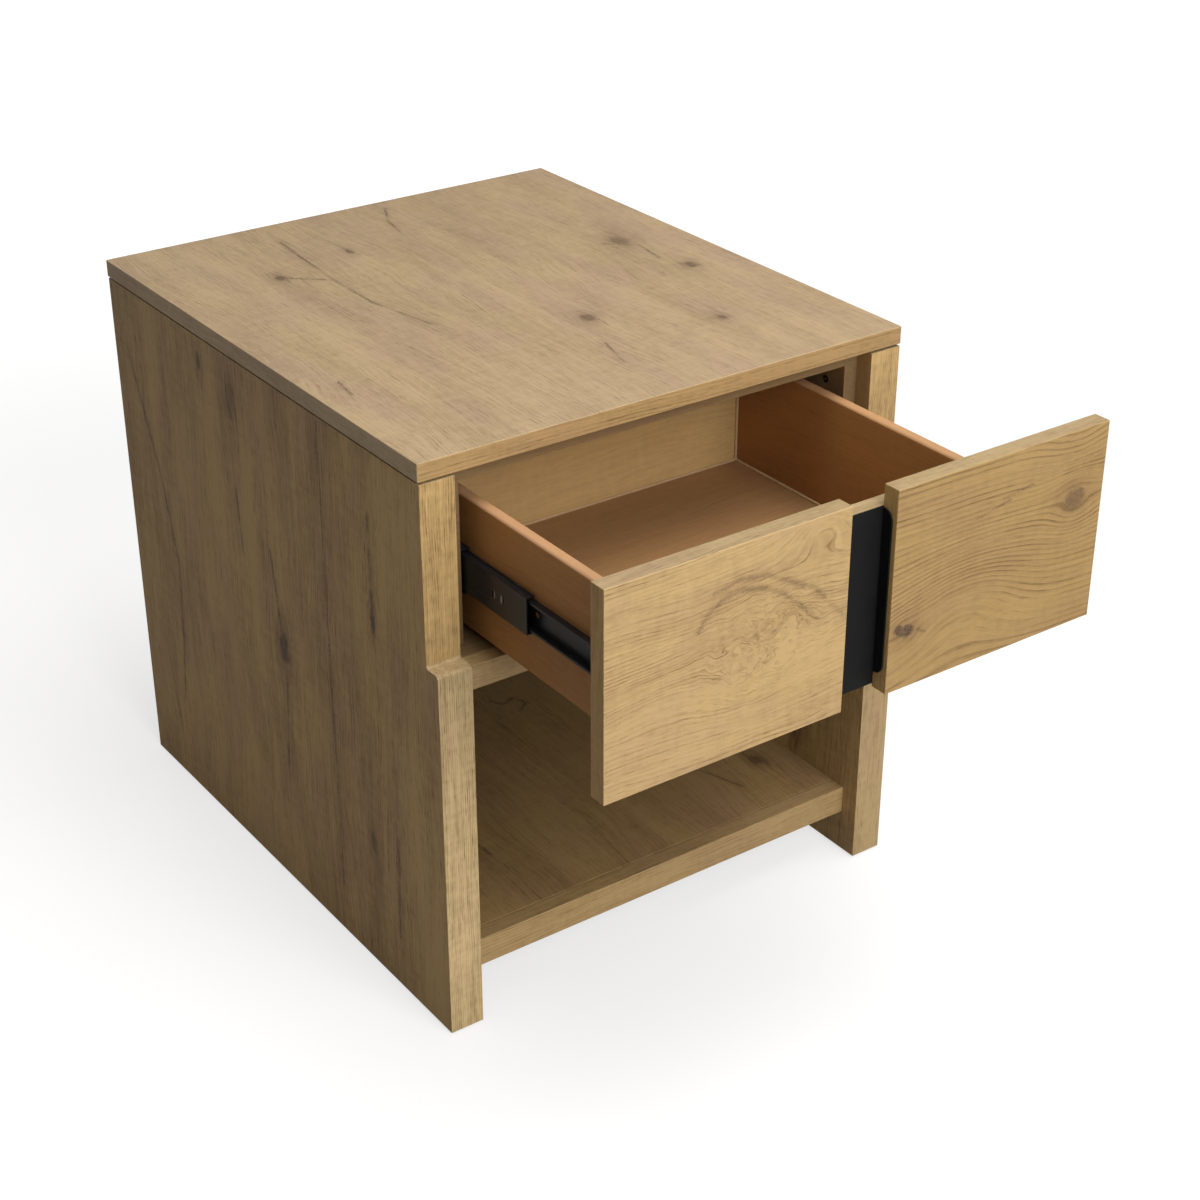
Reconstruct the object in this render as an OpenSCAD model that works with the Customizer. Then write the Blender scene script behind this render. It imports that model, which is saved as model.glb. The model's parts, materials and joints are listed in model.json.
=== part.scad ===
// Nightstand: one drawer on ball-bearing slides over an open shelf.
//
// Every piece is drawn in cabinet coordinates, in millimetres: X runs across
// with 0 on the centre line, Y runs back from the front edge of the top, and Z
// runs up from the floor. Drawer pieces are drawn closed, then moved forward.
// in_frame() brings it all to the middle of the footprint, at floor level.

/* [Cabinet] */
// Width of the top
cabinet_w = 550; // [440:5:700]
// Depth of the top, front edge to back edge
cabinet_d = 625; // [520:5:760]
// Height from the floor to the upper surface of the top
cabinet_h = 600; // [520:5:760]
// Thickness of the top
top_t = 18; // [15:1:25]
// Thickness of each side, a doubled board
side_t = 36; // [24:1:44]
// How far the top reaches past each side
top_overhang = 1; // [0:0.5:3]
// Radius of the hollow where a side steps forward
cove_r = 3; // [1:0.5:3]
// Radius of the front edge below that step
nose_r = 4; // [2:0.5:6]

/* [Rails and shelf] */
// Thickness of the rails under the top
rail_t = 18; // [15:1:22]
// Depth of each rail, front to back
rail_depth = 80; // [60:5:110]
// How far the front rail and the spacers sit behind the top's front edge
rail_setback = 20; // [19:1:26]
// Thickness of the board that runs under the drawer
drawer_rail_t = 18; // [15:1:22]
// Thickness of the strips on the front of the drawer rail and the shelf
nosing_t = 18; // [12:1:22]
// Height of the strip on the front of the drawer rail
drawer_rail_nosing_h = 25; // [22:1:40]
// Height of the upper surface of the shelf above the floor
shelf_height = 80; // [60:1:160]
// Thickness of the shelf
shelf_t = 18; // [15:1:22]
// Height of the strip on the front of the shelf
shelf_nosing_h = 31; // [25:1:45]
// How far the shelf's strip sits behind the top's front edge
shelf_setback = 2; // [0:1:20]
// Thickness of the back
back_t = 6; // [3:1:9]
// How far the back sits inside the back edges
back_inset = 2; // [0:1:10]
// Width of the step in each side that the back sits in
back_ledge = 10; // [8:1:14]

/* [Drawer] */
// How far the drawer stands open
drawer_open = 253; // [0:1:400]
// Height of the two front panels
face_h = 196; // [150:1:210]
// Thickness of the two front panels
face_t = 18; // [15:1:22]
// Width of the finger gap between the two front panels
finger_gap = 50; // [40:1:80]
// Gap below the front panels, and above them to the surface of the top
face_gap = 2; // [1.5:0.5:4]
// Air between the closed front panels and the cabinet
closing_gap = 1; // [1:0.5:3]
// Thickness of the board behind the front panels
sub_front_t = 16; // [15:1:18]
// Air between that board and the sides
sub_front_side_gap = 2; // [1:0.5:4]
// Air above that board, under the top
sub_front_top_gap = 4; // [2:0.5:6]
// Air below that board, over the drawer rail
sub_front_bottom_gap = 7; // [5:0.5:12]
// Depth of the drawer box behind that board
box_d = 403; // [400:1:450]
// Air between the drawer box and the front rail above it
box_top_gap = 24; // [10:1:40]
// Thickness of the drawer box's sides and back
box_t = 12; // [12:1:15]
// Air between the box and the drawer rail
box_bottom_gap = 8; // [6:0.5:12]
// Thickness of the drawer's bottom
bottom_t = 6; // [4:1:8]
// Height of the bottom above the lower edge of the box
bottom_rise = 7; // [6:0.5:12]
// Depth of the grooves that hold the bottom
groove_depth = 6; // [4:0.5:6]

/* [Pull] */
// Thickness of the pull's sheet steel
pull_t = 1.5; // [1:0.5:3]
// How far the pull's two flanges stand forward
pull_depth = 13.5; // [11:0.5:15]
// Radius of the flanges' front corners
pull_corner_r = 10; // [4:0.5:10]
// Gap between the pull and the front panels
pull_gap = 0.3; // [0.2:0.1:1]
// How far the flanges stop above the pull's lower edge
flange_rise = 13; // [5:1:25]
// How far the flanges stop below the pull's upper edge
flange_drop = 1; // [0:1:10]
// Diameter of the pull's two tapped bosses
boss_d = 8; // [7:0.5:10]
// Length of the bosses
boss_l = 8; // [6:0.5:10]

/* [Slides] */
// Height of the slides' centre line above the drawer rail
slide_rise = 71; // [55:1:80]
// Length of the cabinet members
slide_l = 400; // [400:5:430]
// Whole width of a slide, cabinet member to drawer member
slide_w = 12.7; // [12.7:0.1:13.5]
// Thickness of the spacer boards that carry the slides
spacer_t = 16; // [12:1:22]
// How far the slides start behind the front rail's front edge
slide_setback = 2; // [0:1:10]
// Height of the drawer members
drawer_member_h = 27; // [24:0.5:28]
// Thickness of the slides' steel
member_t = 1.2; // [1:0.1:1.4]
// Diameter of the slides' balls
ball_d = 3.2; // [3:0.1:3.5]
// Air between a ball and its track
ball_clearance = 0.05; // [0.02:0.01:0.1]
// How far the middle members start behind the cabinet members
middle_setback = 24; // [5:1:30]
// Length of the middle members
middle_l = 364; // [350:2:370]
// Length of the drawer members
drawer_member_l = 394; // [380:1:398]
// Length of the ball cages
cage_l = 150; // [100:5:150]
// Balls in each group at either end of a cage strip
balls_per_group = 4; // [2:1:6]
// Distance between neighbouring balls
ball_pitch = 7; // [6:0.5:8]

/* [Fastenings] */
// Diameter of the cabinet's dowels
dowel_d = 8; // [6:1:10]
// Diameter of the drawer box's dowels
small_dowel_d = 6; // [5:0.5:6]
// Air all round a dowel or a screw in its hole
hole_clearance = 0.1; // [0.05:0.05:0.2]
// Shank diameter of the countersunk screws
screw_d = 4; // [3:0.5:4]
// Head diameter of the countersunk screws
screw_head_d = 7.6; // [6.5:0.1:8]
// Shank diameter of the back's screws
back_screw_d = 3.5; // [3:0.5:4]
// Height of the floor glides
glide_h = 2; // [1.5:0.5:5]
// Diameter of the floor glides
glide_d = 22; // [16:1:24]
// Thickness of the bumpers behind the front panels
bumper_t = 0.7; // [0.5:0.1:0.7]

/* [Hidden] */
$fn = 48;

// Past this much, a cutting shape leaves no skin on the face it breaks through
through = 1;

// Cabinet
side_out = cabinet_w / 2 - top_overhang;
side_in = side_out - side_t;
side_mid = side_out - side_t / 2;
top_z = cabinet_h - top_t;
face_back = -closing_gap;
face_front = face_back - face_t;
face_top = cabinet_h - face_gap;
face_bottom = face_top - face_h;
shoulder_z = face_bottom - face_gap;
back_front = cabinet_d - back_inset - back_t;
rail_z = top_z - rail_t;

// Shelf
shelf_top = shelf_height;
shelf_bottom = shelf_top - shelf_t;
shelf_front = shelf_setback + nosing_t;

// Rail under the drawer
drawer_rail_front = face_front + nosing_t;
drawer_rail_bottom = shoulder_z - drawer_rail_t;

// Spacer boards and slides, from the cabinet side to the drawer
spacer_in = side_in - spacer_t;
spacer_back = rail_setback + slide_setback + slide_l + 8;
slide_front = rail_setback + slide_setback;
slide_z = shoulder_z + slide_rise;

// Drawer
sub_back = face_back + sub_front_t;
sub_half = side_in - sub_front_side_gap;
sub_top = top_z - sub_front_top_gap;
sub_bottom = shoulder_z + sub_front_bottom_gap;
box_out = spacer_in - slide_w;
box_in = box_out - box_t;
box_mid = box_out - box_t / 2;
box_bottom = shoulder_z + box_bottom_gap;
box_top = rail_z - box_top_gap;
box_back = sub_back + box_d;
bottom_z = box_bottom + bottom_rise;
groove_x = box_in + groove_depth;
face_w = (cabinet_w - finger_gap) / 2;

// Pull
pull_half = finger_gap / 2 - pull_gap;
pull_bottom = sub_bottom - 1;
pull_screw_zs = [sub_bottom + 43, sub_top - 43];

// The whole footprint reaches from the open drawer's panels to the back edge
footprint_middle = (face_front - drawer_open + cabinet_d) / 2;

// Slide section: half heights, from the drawer member outwards
race = ball_d + 2 * ball_clearance;
middle_in = drawer_member_h / 2 + race;
middle_out = middle_in + member_t;
cabinet_in = middle_out + race;
cabinet_out = cabinet_in + member_t;
// and depths, measured from the spacer board towards the drawer
outer_cage_u = member_t + 0.35;
cage_t = 0.5;
middle_u = outer_cage_u + cage_t + 0.35;
inner_cage_u = middle_u + member_t + 0.4;
drawer_flange_u = inner_cage_u + cage_t + 0.5;
flange_end_u = slide_w - member_t - 1;
outer_ball_u = middle_u + 4;
inner_ball_u = drawer_flange_u + 3.2;
lip = 1;
// The outer cages travel a quarter and the inner ones three quarters as far as
// the drawer, and both stay inside their tracks from one end to the other
outer_cage_front = slide_front + 112;
inner_cage_front = slide_front + 133;
stop_slot_w = 3;
stop_slot_h = 7;

// Screws
countersink = 2.4;
tip_l = 3;
spacer_screw_l = 38;
rail_screw_l = 28;
face_screw_l = 28;
slide_screw_l = 11;
back_screw_l = 18;
pan_head_d = 7;
pan_head_h = 2;
pull_screw_d = 4;
pull_screw_l = sub_front_t - 2;
dowel_end_gap = 0.5;

function evenly(first, last, count) =
    [for (i = [0 : count - 1]) first + i * (last - first) / (count - 1)];

// ---- helpers -------------------------------------------------------------

// A board between two corners
module board(from, to) translate(from) cube(to - from);

// The left-hand twin of a right-hand piece
module left_hand() mirror([1, 0, 0]) children();

// The piece on both sides of the centre line
module both_hands() { children(); left_hand() children(); }

// The model's origin: middle of the footprint, on the floor
module in_frame() translate([0, -footprint_middle, 0]) children();

// Moves a closed drawer piece forward by its share of the opening
module opened(share) translate([0, -drawer_open * share, 0]) children();

// A dowel or its hole, along +Z from one end
module dowel(d, l) cylinder(d = d, h = l);

// Countersunk screw, its flat head at 0 and its shank down -Z
module flat_screw(l, grow = 0) {
    translate([0, 0, -countersink])
        cylinder(d1 = screw_d + 2 * grow, d2 = screw_head_d + 2 * grow, h = countersink);
    translate([0, 0, tip_l - l]) cylinder(d = screw_d + 2 * grow, h = l - tip_l - countersink);
    translate([0, 0, -l]) cylinder(d1 = 0.6 + 2 * grow, d2 = screw_d + 2 * grow, h = tip_l);
}

// The cross cut into a screw head
module cross(size, depth) {
    for (a = [0, 90])
        rotate([0, 0, a]) translate([-size / 2, -0.5, -depth]) cube([size, 1, depth + through]);
}

module finished_screw(l) difference() { flat_screw(l); cross(4, 1.2); }

// Screw with a raised round head standing above 0
module pan_screw(d, l) {
    difference() {
        union() {
            cylinder(d = pan_head_d, h = pan_head_h);
            translate([0, 0, tip_l - l]) cylinder(d = d, h = l - tip_l);
            translate([0, 0, -l]) cylinder(d1 = d / 3, d2 = d, h = tip_l);
        }
        translate([0, 0, pan_head_h]) cross(3.6, 1.2);
    }
}

// ---- where fastenings sit ------------------------------------------------

module at_top_dowels()
    for (y = evenly(60, cabinet_d - 60, 3)) translate([side_mid, y, top_z]) children();

module at_shelf_dowels()
    for (y = evenly(shelf_front + 50, back_front - 50, 4))
        translate([side_in, y, shelf_bottom + shelf_t / 2]) rotate([0, 90, 0]) children();

module at_rail_dowels() {
    rails = [[rail_setback, rail_z + rail_t / 2],
             [back_front - rail_depth, rail_z + rail_t / 2],
             [drawer_rail_front, drawer_rail_bottom + drawer_rail_t / 2]];
    for (r = rails, y = [20, rail_depth - 20])
        translate([side_in, r[0] + y, r[1]]) rotate([0, 90, 0]) children();
}

module at_rail_screws()
    for (y = [rail_setback, back_front - rail_depth])
        translate([side_in / 2, y + rail_depth / 2, rail_z]) rotate([180, 0, 0]) children();

module at_spacer_screws()
    for (y = [slide_front + 25, spacer_back - 25], z = [shoulder_z + 24, rail_z - 22])
        translate([spacer_in, y, z]) rotate([0, -90, 0]) children();

module at_cabinet_slide_screws()
    for (y = evenly(slide_front + 35, slide_front + slide_l - 35, 3))
        translate([spacer_in - member_t, y, slide_z]) rotate([0, -90, 0]) children();

module at_drawer_slide_screws()
    for (y = evenly(slide_front + 22, slide_front + drawer_member_l - 30, 3))
        translate([box_out + member_t, y, slide_z]) rotate([0, 90, 0]) children();

module at_box_front_dowels()
    for (z = [box_bottom + 30, box_top - 20])
        translate([box_mid, sub_back, z]) rotate([-90, 0, 0]) children();

module at_box_back_dowels()
    for (z = [box_bottom + 32, box_top - 20])
        translate([box_in, box_back - box_t / 2, z]) rotate([0, 90, 0]) children();

module at_face_screws()
    for (x = [finger_gap / 2 + 35, box_in - 25], z = [box_bottom + 35, box_top - 18])
        translate([x, sub_back, z]) rotate([-90, 0, 0]) children();

module at_pull_screws()
    for (z = pull_screw_zs) translate([0, sub_back, z]) rotate([-90, 0, 0]) children();

module at_back_screws() {
    translate([side_in + back_ledge / 2, back_front + back_t, 0])
        for (z = evenly(shelf_bottom + 60, top_z - 60, 3))
            translate([0, 0, z]) rotate([-90, 0, 0]) children();
    for (z = [shelf_bottom + shelf_t / 2, rail_z + rail_t / 2])
        translate([side_in / 2, back_front + back_t, z]) rotate([-90, 0, 0]) children();
}

module at_glides()
    for (y = [face_front + 30, cabinet_d - 30]) translate([side_mid, y, 0]) children();

module at_bumpers()
    for (z = [face_bottom + 30, face_top - 40])
        translate([side_mid, face_back, z]) rotate([-90, 0, 0]) children();

// Dowel depths on either side of a joint
top_dowel_down = 20;
top_dowel_up = 10;
rail_dowel_out = 20;
rail_dowel_in = 20;
box_dowel_forward = 9;
box_dowel_back = 21;
box_dowel_out = 8;
box_dowel_in = 22;

module dowel_across(d, below, above, air)
    translate([0, 0, -below - (air ? dowel_end_gap : 0)])
        dowel(d + (air ? 2 * hole_clearance : 0), below + above + (air ? 2 * dowel_end_gap : 0));

// ---- cabinet -------------------------------------------------------------

module top_panel() {
    color("burlywood") difference() {
        board([-cabinet_w / 2, 0, top_z], [cabinet_w / 2, cabinet_d, cabinet_h]);
        both_hands() at_top_dowels() dowel_across(dowel_d, top_dowel_down, top_dowel_up, true);
        both_hands() at_rail_screws() flat_screw(rail_screw_l + dowel_end_gap, hole_clearance);
    }
}

// Outline of a side, seen from the right: upper part set back, then a hollow,
// a level shoulder and a rounded nose, and the lower part level with the drawer
module side_outline() {
    difference() {
        union() {
            translate([0, glide_h]) square([cabinet_d, top_z - glide_h]);
            translate([face_front, glide_h]) square([-face_front + 1, shoulder_z - nose_r - glide_h]);
            translate([face_front + nose_r, glide_h])
                square([-face_front - nose_r + 1, shoulder_z - glide_h]);
            translate([face_front + nose_r, shoulder_z - nose_r]) circle(r = nose_r);
            translate([-cove_r, shoulder_z - 1]) square([cove_r + 1, cove_r + 1]);
        }
        translate([-cove_r, shoulder_z + cove_r]) circle(r = cove_r);
    }
}

module side_panel() {
    difference() {
        translate([side_in, 0, 0]) rotate([90, 0, 90]) linear_extrude(height = side_t) side_outline();
        board([side_in - through, back_front, shelf_bottom],
              [side_in + back_ledge, cabinet_d + through, top_z + through]);
        at_top_dowels() dowel_across(dowel_d, top_dowel_down, top_dowel_up, true);
        at_shelf_dowels() dowel_across(dowel_d, rail_dowel_in, rail_dowel_out, true);
        at_rail_dowels() dowel_across(dowel_d, rail_dowel_in, rail_dowel_out, true);
        at_spacer_screws() flat_screw(spacer_screw_l + dowel_end_gap, hole_clearance);
        at_back_screws() cylinder(d = back_screw_d + 2 * hole_clearance, h = 2 * back_screw_l + 1,
                                  center = true);
        at_glides() cylinder(d = glide_pin_d + 2 * hole_clearance, h = glide_h + glide_pin_l + 1);
    }
}

module left_side_panel() color("burlywood") left_hand() side_panel();
module right_side_panel() color("burlywood") side_panel();

module top_rail(front, back_screws) {
    difference() {
        board([-side_in, front, rail_z], [side_in, front + rail_depth, top_z]);
        both_hands() at_rail_dowels() dowel_across(dowel_d, rail_dowel_in, rail_dowel_out, true);
        both_hands() at_rail_screws() flat_screw(rail_screw_l, hole_clearance);
        if (back_screws)
            both_hands() at_back_screws()
                cylinder(d = back_screw_d + 2 * hole_clearance, h = 2 * back_screw_l + 1, center = true);
    }
}

module top_front_rail() color("tan") top_rail(rail_setback, false);
module top_back_rail() color("tan") top_rail(back_front - rail_depth, true);

module slide_spacer() {
    difference() {
        board([spacer_in, rail_setback, shoulder_z], [side_in, spacer_back, rail_z]);
        at_spacer_screws() flat_screw(spacer_screw_l, hole_clearance);
        at_cabinet_slide_screws() flat_screw(slide_screw_l + dowel_end_gap, hole_clearance);
    }
}

module left_slide_spacer() color("tan") left_hand() slide_spacer();
module right_slide_spacer() color("tan") slide_spacer();

module drawer_rail_nosing()
    color("burlywood") board([-side_in, face_front, shoulder_z - drawer_rail_nosing_h],
                             [side_in, drawer_rail_front, shoulder_z]);

module drawer_rail_board()
    color("tan") difference() {
        board([-side_in, drawer_rail_front, drawer_rail_bottom],
              [side_in, drawer_rail_front + rail_depth, shoulder_z]);
        both_hands() at_rail_dowels() dowel_across(dowel_d, rail_dowel_in, rail_dowel_out, true);
    }

module shelf_board()
    color("burlywood") difference() {
        board([-side_in, shelf_front, shelf_bottom], [side_in, back_front, shelf_top]);
        both_hands() at_shelf_dowels() dowel_across(dowel_d, rail_dowel_in, rail_dowel_out, true);
        both_hands() at_back_screws()
            cylinder(d = back_screw_d + 2 * hole_clearance, h = 2 * back_screw_l + 1, center = true);
    }

module shelf_nosing()
    color("burlywood") board([-side_in, shelf_setback, shelf_top - shelf_nosing_h],
                             [side_in, shelf_front, shelf_top]);

module back_panel()
    color("tan") difference() {
        board([-side_in - back_ledge, back_front, shelf_bottom],
              [side_in + back_ledge, back_front + back_t, top_z]);
        both_hands() at_back_screws()
            cylinder(d = back_screw_d + 2 * hole_clearance, h = 2 * back_t + 2, center = true);
    }

glide_pin_d = 3;
glide_pin_l = 12;

module floor_glides()
    color("dimgray") both_hands() at_glides() {
        cylinder(d1 = glide_d - 2, d2 = glide_d, h = glide_h);
        translate([0, 0, glide_h]) cylinder(d = glide_pin_d, h = glide_pin_l);
    }

module top_dowels()
    color("wheat") both_hands() at_top_dowels()
        dowel_across(dowel_d, top_dowel_down, top_dowel_up, false);

module shelf_dowels()
    color("wheat") both_hands() at_shelf_dowels()
        dowel_across(dowel_d, rail_dowel_in, rail_dowel_out, false);

module rail_dowels()
    color("wheat") both_hands() at_rail_dowels()
        dowel_across(dowel_d, rail_dowel_in, rail_dowel_out, false);

module top_rail_screws()
    color("silver") both_hands() at_rail_screws() finished_screw(rail_screw_l);

module spacer_screws()
    color("silver") both_hands() at_spacer_screws() finished_screw(spacer_screw_l);

module back_panel_screws()
    color("silver") both_hands() at_back_screws() pan_screw(back_screw_d, back_screw_l);

// ---- slides --------------------------------------------------------------

// A channel section: a web and two flanges with a lip at their free edge.
// u runs from the spacer board towards the drawer, v up from the centre line.
module channel(web_u, flange_u, half, lip_v) {
    low_u = min(web_u, flange_u);
    high_u = max(web_u, flange_u) + (flange_u < web_u ? member_t : 0);
    lip_u = flange_u < web_u ? low_u : high_u - member_t;
    translate([web_u, -half]) square([member_t, 2 * half]);
    for (s = [0, 1]) mirror([0, s]) {
        translate([low_u, half - member_t]) square([high_u - low_u, member_t]);
        translate([lip_u, lip_v < 0 ? half - member_t + lip_v : half - member_t])
            square([member_t, member_t + abs(lip_v)]);
    }
}

// Runs a section along the slide, on the right-hand side of the cabinet
module slide_run(from, l)
    translate([spacer_in, from, slide_z]) rotate([90, 0, 0]) mirror([1, 0, 0])
        translate([0, 0, -l]) linear_extrude(height = l) children();

module slide_cabinet_member() {
    difference() {
        slide_run(slide_front, slide_l) channel(0, flange_end_u, cabinet_out, -lip);
        at_cabinet_slide_screws() flat_screw(slide_screw_l, hole_clearance);
        for (y = evenly(slide_front + 75, slide_front + slide_l - 75, 4))
            translate([spacer_in, y, slide_z]) rotate([0, 90, 0])
                cylinder(d = 9, h = 2 * member_t + 2, center = true);
    }
}

module left_slide_cabinet_member() color("dimgray") left_hand() slide_cabinet_member();
module right_slide_cabinet_member() color("dimgray") slide_cabinet_member();

module slide_middle_member() {
    front = slide_front + middle_setback;
    difference() {
        slide_run(front, middle_l) channel(middle_u, flange_end_u, middle_out, lip);
        for (y = [front + 36, front + 51, front + middle_l - 45])
            board([spacer_in - middle_u - member_t - through, y, slide_z - stop_slot_h / 2],
                  [spacer_in - middle_u + through, y + stop_slot_w, slide_z + stop_slot_h / 2]);
    }
}

module left_slide_middle_member() color("dimgray") left_hand() opened(0.5) slide_middle_member();
module right_slide_middle_member() color("dimgray") opened(0.5) slide_middle_member();

module slide_drawer_member() {
    difference() {
        slide_run(slide_front, drawer_member_l)
            channel(slide_w - member_t, drawer_flange_u, drawer_member_h / 2, lip);
        at_drawer_slide_screws() flat_screw(slide_screw_l, hole_clearance);
        for (y = evenly(slide_front + 60, slide_front + drawer_member_l - 70, 4))
            translate([box_out, y, slide_z]) rotate([0, 90, 0])
                cylinder(d = 6, h = 2 * member_t + 2, center = true);
    }
}

module left_slide_drawer_member() color("dimgray") left_hand() opened(1) slide_drawer_member();
module right_slide_drawer_member() color("dimgray") opened(1) slide_drawer_member();

// Ball positions along a cage: one group at each end
cage_margin = 6;
ball_steps = concat(
    [for (i = [0 : balls_per_group - 1]) cage_margin + i * ball_pitch],
    [for (i = [0 : balls_per_group - 1]) cage_l - cage_margin - i * ball_pitch]);

module at_balls(front, ball_u, v)
    for (s = [-1, 1], step = ball_steps)
        translate([spacer_in - ball_u, front + step, slide_z + s * v]) children();

module ball_cage(front, web_u, ball_u, v) {
    difference() {
        slide_run(front, cage_l) {
            translate([web_u, -v]) square([cage_t, 2 * v]);
            for (s = [-1, 1])
                translate([web_u, s * v - cage_t / 2]) square([ball_u + 2.4 - web_u, cage_t]);
        }
        at_balls(front, ball_u, v) cylinder(d = ball_d + 2 * ball_clearance, h = 3, center = true);
        for (y = evenly(front + 30, front + cage_l - 50, 3))
            board([spacer_in - web_u - cage_t - through, y, slide_z - v + 3],
                  [spacer_in - web_u + through, y + 20, slide_z + v - 3]);
    }
}

outer_ball_v = middle_out + race / 2;
inner_ball_v = drawer_member_h / 2 + race / 2;

module outer_ball_cages()
    color("silver") both_hands() opened(0.25)
        ball_cage(outer_cage_front, outer_cage_u, outer_ball_u, outer_ball_v);

module inner_ball_cages()
    color("silver") both_hands() opened(0.75)
        ball_cage(inner_cage_front, inner_cage_u, inner_ball_u, inner_ball_v);

module outer_balls()
    color("gainsboro") both_hands() opened(0.25)
        at_balls(outer_cage_front, outer_ball_u, outer_ball_v) sphere(d = ball_d);

module inner_balls()
    color("gainsboro") both_hands() opened(0.75)
        at_balls(inner_cage_front, inner_ball_u, inner_ball_v) sphere(d = ball_d);

module cabinet_slide_screws()
    color("silver") both_hands() at_cabinet_slide_screws() finished_screw(slide_screw_l);

module drawer_slide_screws()
    color("silver") opened(1) both_hands() at_drawer_slide_screws() finished_screw(slide_screw_l);

// ---- drawer --------------------------------------------------------------

module face_panel()
    difference() {
        board([finger_gap / 2, face_front, face_bottom], [cabinet_w / 2, face_back, face_top]);
        at_face_screws() flat_screw(face_screw_l + dowel_end_gap, hole_clearance);
    }

module left_face_panel() color("burlywood") opened(1) left_hand() face_panel();
module right_face_panel() color("burlywood") opened(1) face_panel();

module sub_front()
    color("burlywood") opened(1) difference() {
        board([-sub_half, face_back, sub_bottom], [sub_half, sub_back, sub_top]);
        board([-groove_x, sub_back - groove_depth, bottom_z],
              [groove_x, sub_back + through, bottom_z + bottom_t]);
        both_hands() at_box_front_dowels()
            dowel_across(small_dowel_d, box_dowel_forward, box_dowel_back, true);
        both_hands() at_face_screws() flat_screw(face_screw_l, hole_clearance);
        at_pull_screws() cylinder(d = pull_screw_d + 2 * hole_clearance, h = 60, center = true);
        at_pull_screws() translate([0, 0, -sub_front_t - through])
            cylinder(d = boss_d + 1, h = boss_l + dowel_end_gap + through);
    }

module drawer_side()
    difference() {
        board([box_in, sub_back, box_bottom], [box_out, box_back, box_top]);
        board([box_in - through, sub_back - through, bottom_z],
              [groove_x, box_back - box_t + groove_depth, bottom_z + bottom_t]);
        at_box_front_dowels() dowel_across(small_dowel_d, box_dowel_forward, box_dowel_back, true);
        at_box_back_dowels() dowel_across(small_dowel_d, box_dowel_in, box_dowel_out, true);
        at_drawer_slide_screws() rotate([180, 0, 0]) mirror([0, 0, 1])
            flat_screw(slide_screw_l + dowel_end_gap, hole_clearance);
    }

module drawer_left_side() color("peru") opened(1) left_hand() drawer_side();
module drawer_right_side() color("peru") opened(1) drawer_side();

module drawer_back()
    color("peru") opened(1) difference() {
        board([-box_in, box_back - box_t, box_bottom], [box_in, box_back, box_top]);
        board([-box_in - through, box_back - box_t - through, bottom_z],
              [box_in + through, box_back - box_t + groove_depth, bottom_z + bottom_t]);
        both_hands() at_box_back_dowels()
            dowel_across(small_dowel_d, box_dowel_in, box_dowel_out, true);
    }

module drawer_bottom()
    color("sienna") opened(1)
        board([-groove_x + dowel_end_gap, sub_back - groove_depth + dowel_end_gap, bottom_z],
              [groove_x - dowel_end_gap, box_back - box_t + groove_depth - dowel_end_gap,
               bottom_z + bottom_t]);

module box_front_dowels()
    color("wheat") opened(1) both_hands() at_box_front_dowels()
        dowel_across(small_dowel_d, box_dowel_forward, box_dowel_back, false);

module box_back_dowels()
    color("wheat") opened(1) both_hands() at_box_back_dowels()
        dowel_across(small_dowel_d, box_dowel_in, box_dowel_out, false);

module face_screws()
    color("silver") opened(1) both_hands() at_face_screws() finished_screw(face_screw_l);

// Outline of a flange: square at the back, two rounded corners in front
module flange_outline(h)
    intersection() {
        translate([-pull_depth, 0]) square([pull_depth, h]);
        union() {
            translate([-pull_depth + pull_corner_r, 0]) square([pull_depth, h]);
            translate([-pull_depth, pull_corner_r]) square([pull_depth, h - 2 * pull_corner_r]);
            for (v = [pull_corner_r, h - pull_corner_r])
                translate([-pull_depth + pull_corner_r, v]) circle(r = pull_corner_r);
        }
    }

module handle_channel()
    color("black") opened(1) difference() {
        union() {
            board([-pull_half, face_back - pull_t, pull_bottom], [pull_half, face_back, sub_top]);
            both_hands()
                translate([pull_half - pull_t, face_back, pull_bottom + flange_rise])
                    rotate([90, 0, 90]) linear_extrude(height = pull_t)
                        flange_outline(sub_top - flange_drop - pull_bottom - flange_rise);
            for (z = pull_screw_zs)
                translate([0, face_back, z]) rotate([-90, 0, 0]) cylinder(d = boss_d, h = boss_l);
        }
        for (z = pull_screw_zs)
            translate([0, face_back, z]) rotate([-90, 0, 0])
                cylinder(d = pull_screw_d + 2 * hole_clearance, h = boss_l + through);
    }

module handle_screws()
    color("silver") opened(1) at_pull_screws() pan_screw(pull_screw_d, pull_screw_l);

module drawer_bumpers()
    color("whitesmoke") opened(1) both_hands() at_bumpers() cylinder(d = 9, h = bumper_t);

// ---- nodes ---------------------------------------------------------------

in_frame() top_panel();
in_frame() left_side_panel();
in_frame() right_side_panel();
in_frame() top_front_rail();
in_frame() top_back_rail();
in_frame() left_slide_spacer();
in_frame() right_slide_spacer();
in_frame() drawer_rail_nosing();
in_frame() drawer_rail_board();
in_frame() shelf_board();
in_frame() shelf_nosing();
in_frame() back_panel();
in_frame() floor_glides();
in_frame() top_dowels();
in_frame() shelf_dowels();
in_frame() rail_dowels();
in_frame() top_rail_screws();
in_frame() spacer_screws();
in_frame() back_panel_screws();
in_frame() left_slide_cabinet_member();
in_frame() right_slide_cabinet_member();
in_frame() cabinet_slide_screws();
in_frame() left_slide_middle_member();
in_frame() right_slide_middle_member();
in_frame() outer_ball_cages();
in_frame() outer_balls();
in_frame() inner_ball_cages();
in_frame() inner_balls();
in_frame() left_face_panel();
in_frame() right_face_panel();
in_frame() sub_front();
in_frame() drawer_left_side();
in_frame() drawer_right_side();
in_frame() drawer_back();
in_frame() drawer_bottom();
in_frame() box_front_dowels();
in_frame() box_back_dowels();
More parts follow.
